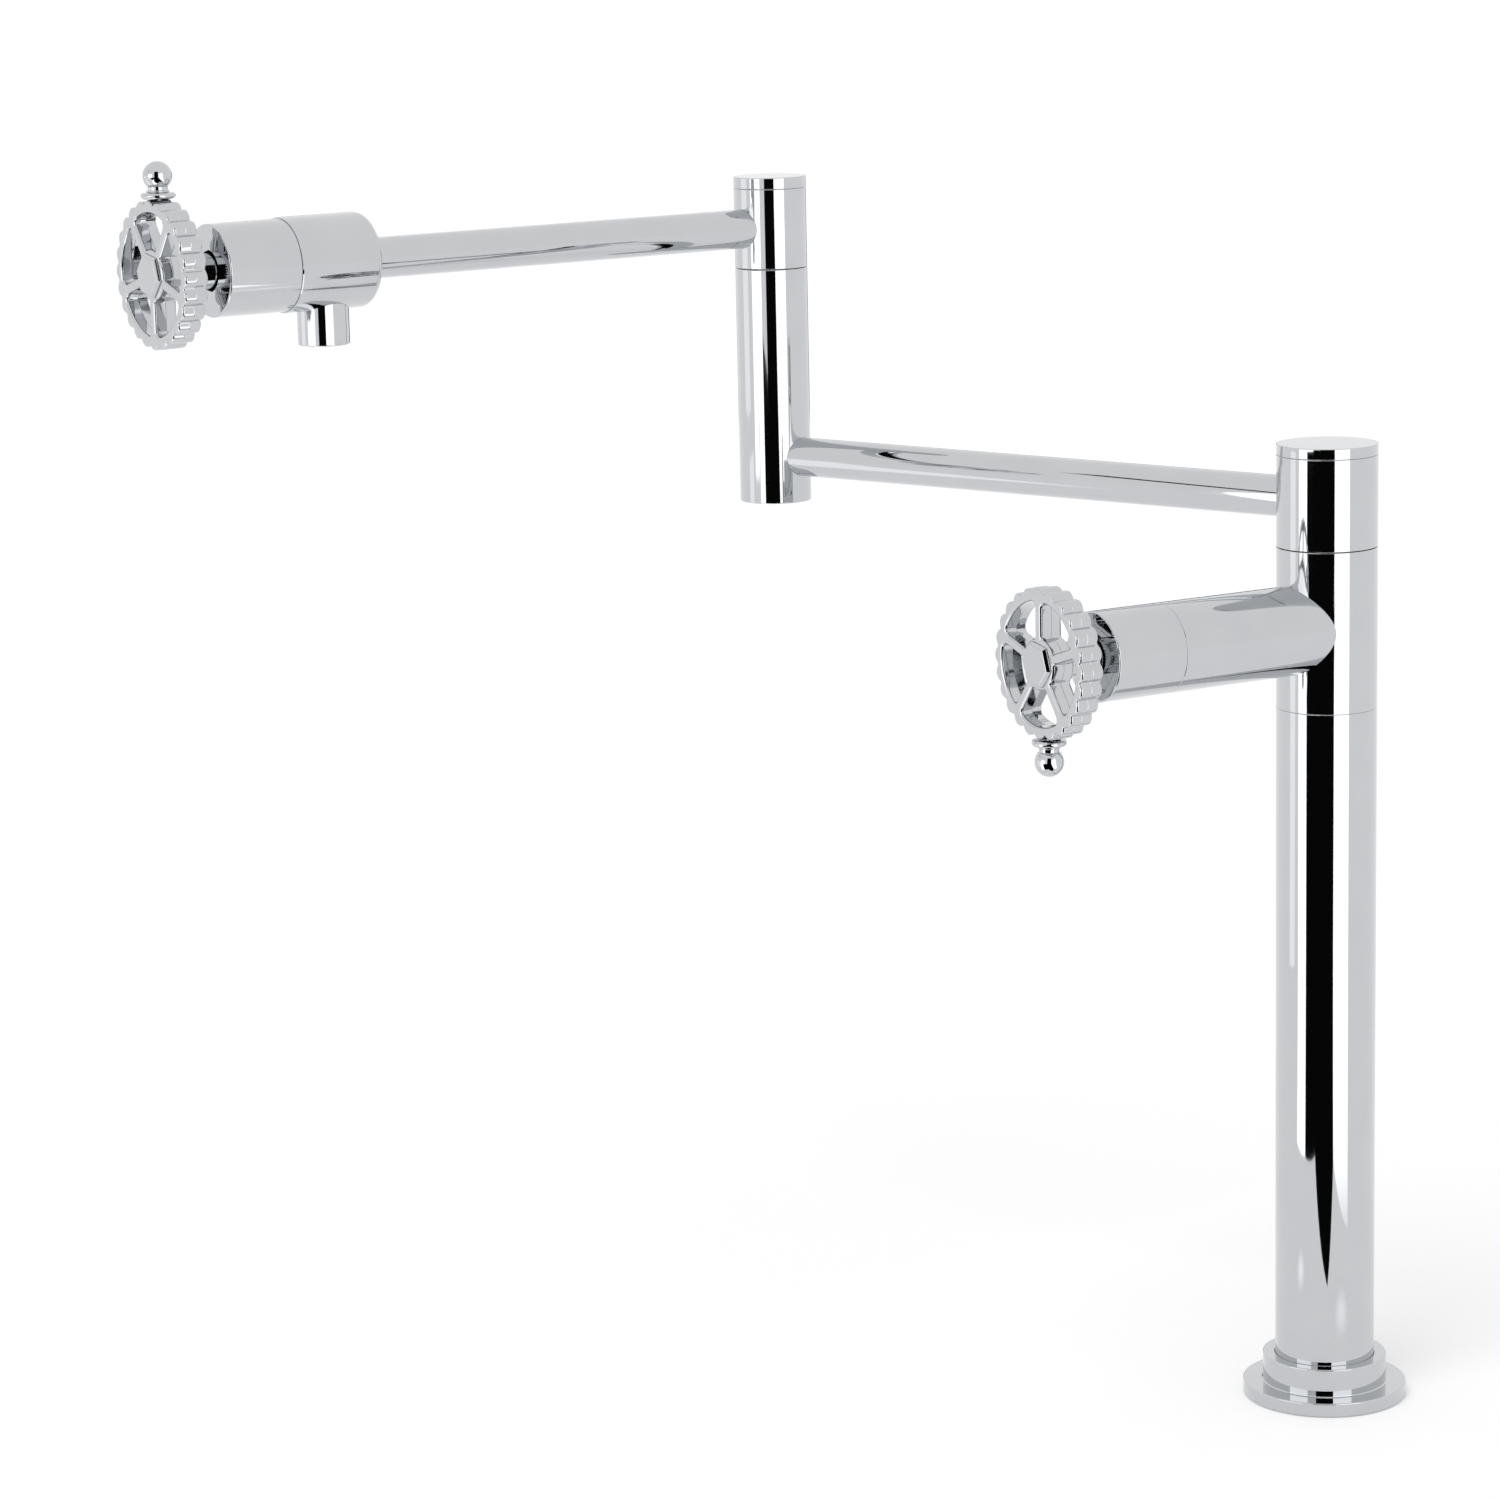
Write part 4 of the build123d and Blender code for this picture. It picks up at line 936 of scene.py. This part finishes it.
def lappedCeramic(name):
    # Sintered alumina lapped to a mirror: ivory white and glassy, with faint specks of darker grain
    # Grains are about 0.01 mm, drawn at 0.3 mm
    material, tree, place = newMaterial(name)
    grain = addNode(tree, "ShaderNodeTexNoise", {
        "Vector": place, "Scale": perMetre(0.3), "Detail": 3.0, "Roughness": 0.7,
    })
    specks = addNode(tree, "ShaderNodeMapRange", {
        "Value": grain.outputs["Fac"], "From Min": 0.62, "From Max": 0.72,
    })
    tint = addNode(tree, "ShaderNodeMix", {
        "Factor": specks.outputs["Result"], "A": hexColour("#ECEAE2"), "B": hexColour("#D6D3C9"),
    }, data_type="RGBA")
    rough = addNode(tree, "ShaderNodeMapRange", {
        "Value": specks.outputs["Result"], "To Min": 0.1, "To Max": 0.22,
    })
    shader = addNode(tree, "ShaderNodeBsdfPrincipled", {
        "Base Color": tint.outputs["Result"], "Roughness": rough.outputs["Result"], "IOR": 1.76,
    })
    addNode(tree, "ShaderNodeOutputMaterial", {"Surface": shader.outputs["BSDF"]})
    return material


lowerAzimuth = math.atan2(lowerValve[1][2], lowerValve[0][2])
upperAzimuth = math.atan2(upperValve[1][2], upperValve[0][2])
chrome = polishedChrome("polishedChromePlate", waviness=14.0, waveHeight=0.004, roughLow=0.02,
                        roughHigh=0.045)
castChrome = platedCasting("chromePlatedCasting")
brass = turnedBrass("turnedBrass")
lowerBrass = turnedBrass("turnedBrassLowerValve", lowerAzimuth)
upperBrass = turnedBrass("turnedBrassUpperValve", upperAzimuth)
steel = stampedSteel("stampedStainless")
rubber = nitrileRubber("nitrileRubber")
acetal = mouldedAcetal("mouldedAcetal")
ceramic = lappedCeramic("lappedCeramic")
print("materials made")


finishes = {"chrome": chrome, "brass": brass, "stainless": steel, "rubber": rubber, "acetal": acetal,
            "ceramic": ceramic}


def finishOf(name, slotName):
    # The wheels are cast, and each valve's brass is turned about its own level axis
    if slotName == "chrome" and "wheel" in name.lower():
        return castChrome
    if slotName == "brass" and name.startswith("lower_"):
        return lowerBrass
    if slotName == "brass" and name.startswith("upper_"):
        return upperBrass
    return finishes[slotName]


for name, node in nodes.items():
    for slot in node.material_slots:
        slot.material = finishOf(name, slot.material.name.split(".")[0])
for piece, slotName in finished:
    piece.data.materials.clear()
    piece.data.materials.append(finishOf(piece.name, slotName))
print("materials given")


# Studio: floor, world, one soft lamp, and cards that only polished metal sees
studioSettings = {"floorLevel": -0.3, "floorSize": 60000, "floorColour": "#EDEDEE", "floorTone": "#EFEFEF",
                  "floorGlow": 0.2, "skyColour": "#FFFFFF", "skyLevel": 0.72,
                  "lampPlace": (-900, -1300, 2400), "lampAngle": 32.0, "lampPower": 0.9}


def backgroundRays(tree):
    # 1 for the rays that show the background: straight from the camera, off metal or through glass
    path = addNode(tree, "ShaderNodeLightPath").outputs
    seen = addNode(tree, "ShaderNodeMath", {
        0: path["Is Camera Ray"], 1: path["Is Glossy Ray"],
    }, operation="MAXIMUM")
    return addNode(tree, "ShaderNodeMath", {
        0: seen.outputs[0], 1: path["Is Transmission Ray"],
    }, operation="MAXIMUM").outputs[0]


def addFloor(s):
    # Matt pale card, which can't be seen from below
    bpy.ops.object.select_all(action="DESELECT")
    bpy.ops.mesh.primitive_plane_add(size=s["floorSize"] * mm, location=(0, 0, s["floorLevel"] * mm))
    floor = bpy.context.object
    floor.name = "floor"
    material, tree, place = newMaterial("paleFloor")
    tone = noise(tree, place, 400.0, 2.0)
    tint = addNode(tree, "ShaderNodeMix", {
        "Factor": tone, "A": hexColour(s["floorColour"]), "B": hexColour(s["floorTone"]),
    }, data_type="RGBA")
    glow = addNode(tree, "ShaderNodeMath", {
        0: backgroundRays(tree), 1: s["floorGlow"],
    }, operation="MULTIPLY")
    shader = addNode(tree, "ShaderNodeBsdfPrincipled", {
        "Base Color": tint.outputs["Result"], "Roughness": 0.9, "Specular IOR Level": 0.0,
        "Emission Color": hexColour("#FFFFFF"), "Emission Strength": glow.outputs[0],
    })
    clear = addNode(tree, "ShaderNodeBsdfTransparent")
    below = addNode(tree, "ShaderNodeNewGeometry").outputs["Backfacing"]
    mixed = addNode(tree, "ShaderNodeMixShader", {0: below, 1: shader.outputs[0], 2: clear.outputs[0]})
    addNode(tree, "ShaderNodeOutputMaterial", {"Surface": mixed.outputs[0]})
    floor.data.materials.append(material)


def addWorld(s):
    world = bpy.data.worlds.new("studio")
    world.use_nodes = True
    tree = world.node_tree
    tree.nodes.clear()
    level = addNode(tree, "ShaderNodeMapRange", {
        "Value": backgroundRays(tree), "To Min": s["skyLevel"], "To Max": 1.0,
    })
    sky = addNode(tree, "ShaderNodeBackground", {
        "Color": hexColour(s["skyColour"]), "Strength": level.outputs["Result"],
    })
    addNode(tree, "ShaderNodeOutputWorld", {"Surface": sky.outputs[0]})
    bpy.context.scene.world = world


def addLamp(s):
    # A broad distant lamp, even over the whole floor, that polished metal doesn't show
    lamp = bpy.data.lights.new("softLamp", "SUN")
    lamp.angle = math.radians(s["lampAngle"])
    lamp.energy = s["lampPower"]
    holder = bpy.data.objects.new("softLamp", lamp)
    bpy.context.collection.objects.link(holder)
    place = Vector(s["lampPlace"]) * mm
    holder.location = place
    holder.rotation_euler = (-place).to_track_quat("-Z", "Y").to_euler()
    holder.visible_glossy = False


def cardPaint(name, colour, strength, centre=(0, 0), fade=None):
    # Glowing card, which may fade to or from the floor's white with the distance from a centre in mm
    material, tree, place = newMaterial(name)
    level = strength
    if fade:
        off = addNode(tree, "ShaderNodeVectorMath", {
            0: place, 1: (centre[0] * mm, centre[1] * mm, 0),
        }, operation="DISTANCE")
        level = addNode(tree, "ShaderNodeMapRange", {
            "Value": off.outputs["Value"], "From Min": fade[0] * mm, "From Max": fade[1] * mm,
            "To Min": 1.0, "To Max": strength,
        }, interpolation_type="SMOOTHSTEP").outputs["Result"]
    paint = addNode(tree, "ShaderNodeEmission", {"Color": hexColour(colour), "Strength": level})
    addNode(tree, "ShaderNodeOutputMaterial", {"Surface": paint.outputs[0]})
    return material


def addCard(name, corners, paint):
    # A flat card through corners in mm, seen only in reflections
    card = drawnLine(name, corners, True)
    editAll(card)
    bpy.ops.mesh.edge_face_add()
    bpy.ops.object.mode_set(mode="OBJECT")
    card.data.materials.append(paint)
    card.visible_camera = False
    card.visible_diffuse = False
    card.visible_transmission = False
    card.visible_volume_scatter = False
    card.visible_shadow = False


blackCard = cardPaint("blackCard", "#0A0A0B", 1.0)
whiteCard = cardPaint("whiteCard", "#FFFFFF", 2.0)
whiteFloorCard = cardPaint("whiteFloorCard", "#FFFFFF", 2.0, fade=(180, 420))
paleCard = cardPaint("paleCard", "#FFFFFF", 1.35)
greyCard = cardPaint("greyCard", "#3C3E40", 1.0)
leftGlow = cardPaint("leftGlow", "#FFFFFF", 1.42, (-172, -92), (38, 0))
rightGlow = cardPaint("rightGlow", "#FFFFFF", 1.3, (68, -122), (44, 0))

# Levels of the cards, and the corners on the floor where two or more of them meet, in mm
cardSettings = {"level": -0.1, "farLevel": -0.05, "near": -3200, "blackTop": 2900, "leftTop": 320,
                "rightTop": 1500, "farTop": 1300, "paleFarTop": 500, "paleTop": 200, "backTop": 650,
                "rightNear": (71, -364), "rightBend": (136, -830), "rightFar": (1290, -1310),
                "leftNear": (-299, -225), "leftFar": (-650, -490), "leftOuter": (-632, -190),
                "farEnd": (-3207, -1098), "paleFront": (-1485, -190), "paleBack": (-1485, 209)}


def addWall(name, foot, bottom, top, paint):
    # Upright cards along a line on the floor
    for number, (first, second) in enumerate(zip(foot, foot[1:])):
        corners = [(*first, bottom), (*first, top), (*second, top), (*second, bottom)]
        addCard(name + str(number), corners, paint)


def addPatch(name, outline, level, paint):
    addCard(name, [(x, y, level) for x, y in outline], paint)


def addCards(s):
    low, near = s["level"], s["near"]
    blackRight = (520, near)
    # Black in front, with a white edge on each side, as the column shows it
    addWall("blackWall", [blackRight, (-1350, near)], low, s["blackTop"], blackCard)
    addPatch("blackFloor", [(-4, -176), s["rightNear"], s["rightBend"], (540, near), (-4300, near),
                            s["leftFar"], s["leftNear"], (-189, -328)], low, blackCard)
    addWall("whiteLeftWall", [s["leftFar"], s["leftOuter"]], low, s["leftTop"], whiteCard)
    addPatch("whiteLeftFloor", [s["leftFar"], s["leftNear"], (-380, -110), s["leftOuter"]], low,
             whiteFloorCard)
    addWall("whiteRightWall", [blackRight, s["rightFar"]], low, s["rightTop"], whiteCard)
    addPatch("whiteRightFloor", [s["rightNear"], (182, -183), s["rightFar"], blackRight, s["rightBend"]],
             low, whiteFloorCard)
    # Far cards, for the middle post and the nozzle
    addWall("whiteFarWall", [(-2009, -2539), s["farEnd"]], low, s["farTop"], whiteCard)
    addPatch("whiteFarFloor", [(-2655, -864), (-2287, -1482), (-2756, -1857), s["farEnd"]],
             s["farLevel"], whiteCard)
    addWall("paleFarWall", [(-3385, -274), (-3307, 1000)], low, s["paleFarTop"], paleCard)
    # A paler edge on the column's left, and soft glows above its foot
    addWall("paleLeftWall", [s["paleFront"], s["paleBack"]], low, s["paleTop"], paleCard)
    addPatch("paleLeftFloor", [(-743, -95), s["paleFront"], s["paleBack"], (-743, 104)], low, paleCard)
    addPatch("leftGlowPatch", [(-210, -130), (-134, -130), (-134, -54), (-210, -54)], low, leftGlow)
    addPatch("rightGlowPatch", [(24, -166), (112, -166), (112, -78), (24, -78)], low, rightGlow)
    # The thin dark line along the lower arm, and the dark side of the bevels that face away
    addCard("darkStrip", [(-1150, -375, 735), (-1150, -375, 815), (-1290, -140, 1210),
                          (-1290, -140, 1130)], greyCard)
    addWall("blackBack", [(-800, 3200), (800, 3200)], low, s["backTop"], blackCard)


addFloor(studioSettings)
addWorld(studioSettings)
addLamp(studioSettings)
addCards(cardSettings)
print("studio made")


# Camera at the photograph's angle: lens and sensor in mm, its place in metres, its angles in radians
cameraSettings = {"lens": 108.97, "sensor": 36.0, "place": (-0.229193, -1.770353, 0.623737),
                  "down": 0.19601, "roll": -0.02184}


def addCamera(s):
    camera = bpy.data.cameras.new("camera")
    camera.lens = s["lens"]
    camera.sensor_width = s["sensor"]
    camera.sensor_fit = "HORIZONTAL"
    holder = bpy.data.objects.new("camera", camera)
    bpy.context.collection.objects.link(holder)
    holder.rotation_mode = "ZYX"
    holder.location = s["place"]
    holder.rotation_euler = (math.pi / 2 - s["down"], 0, 0)
    bpy.context.view_layer.update()
    holder.matrix_world = holder.matrix_world @ Matrix.Rotation(s["roll"], 4, "Z")
    bpy.context.scene.camera = holder


addCamera(cameraSettings)
bpy.context.scene.view_settings.view_transform = "Standard"
print("camera set")
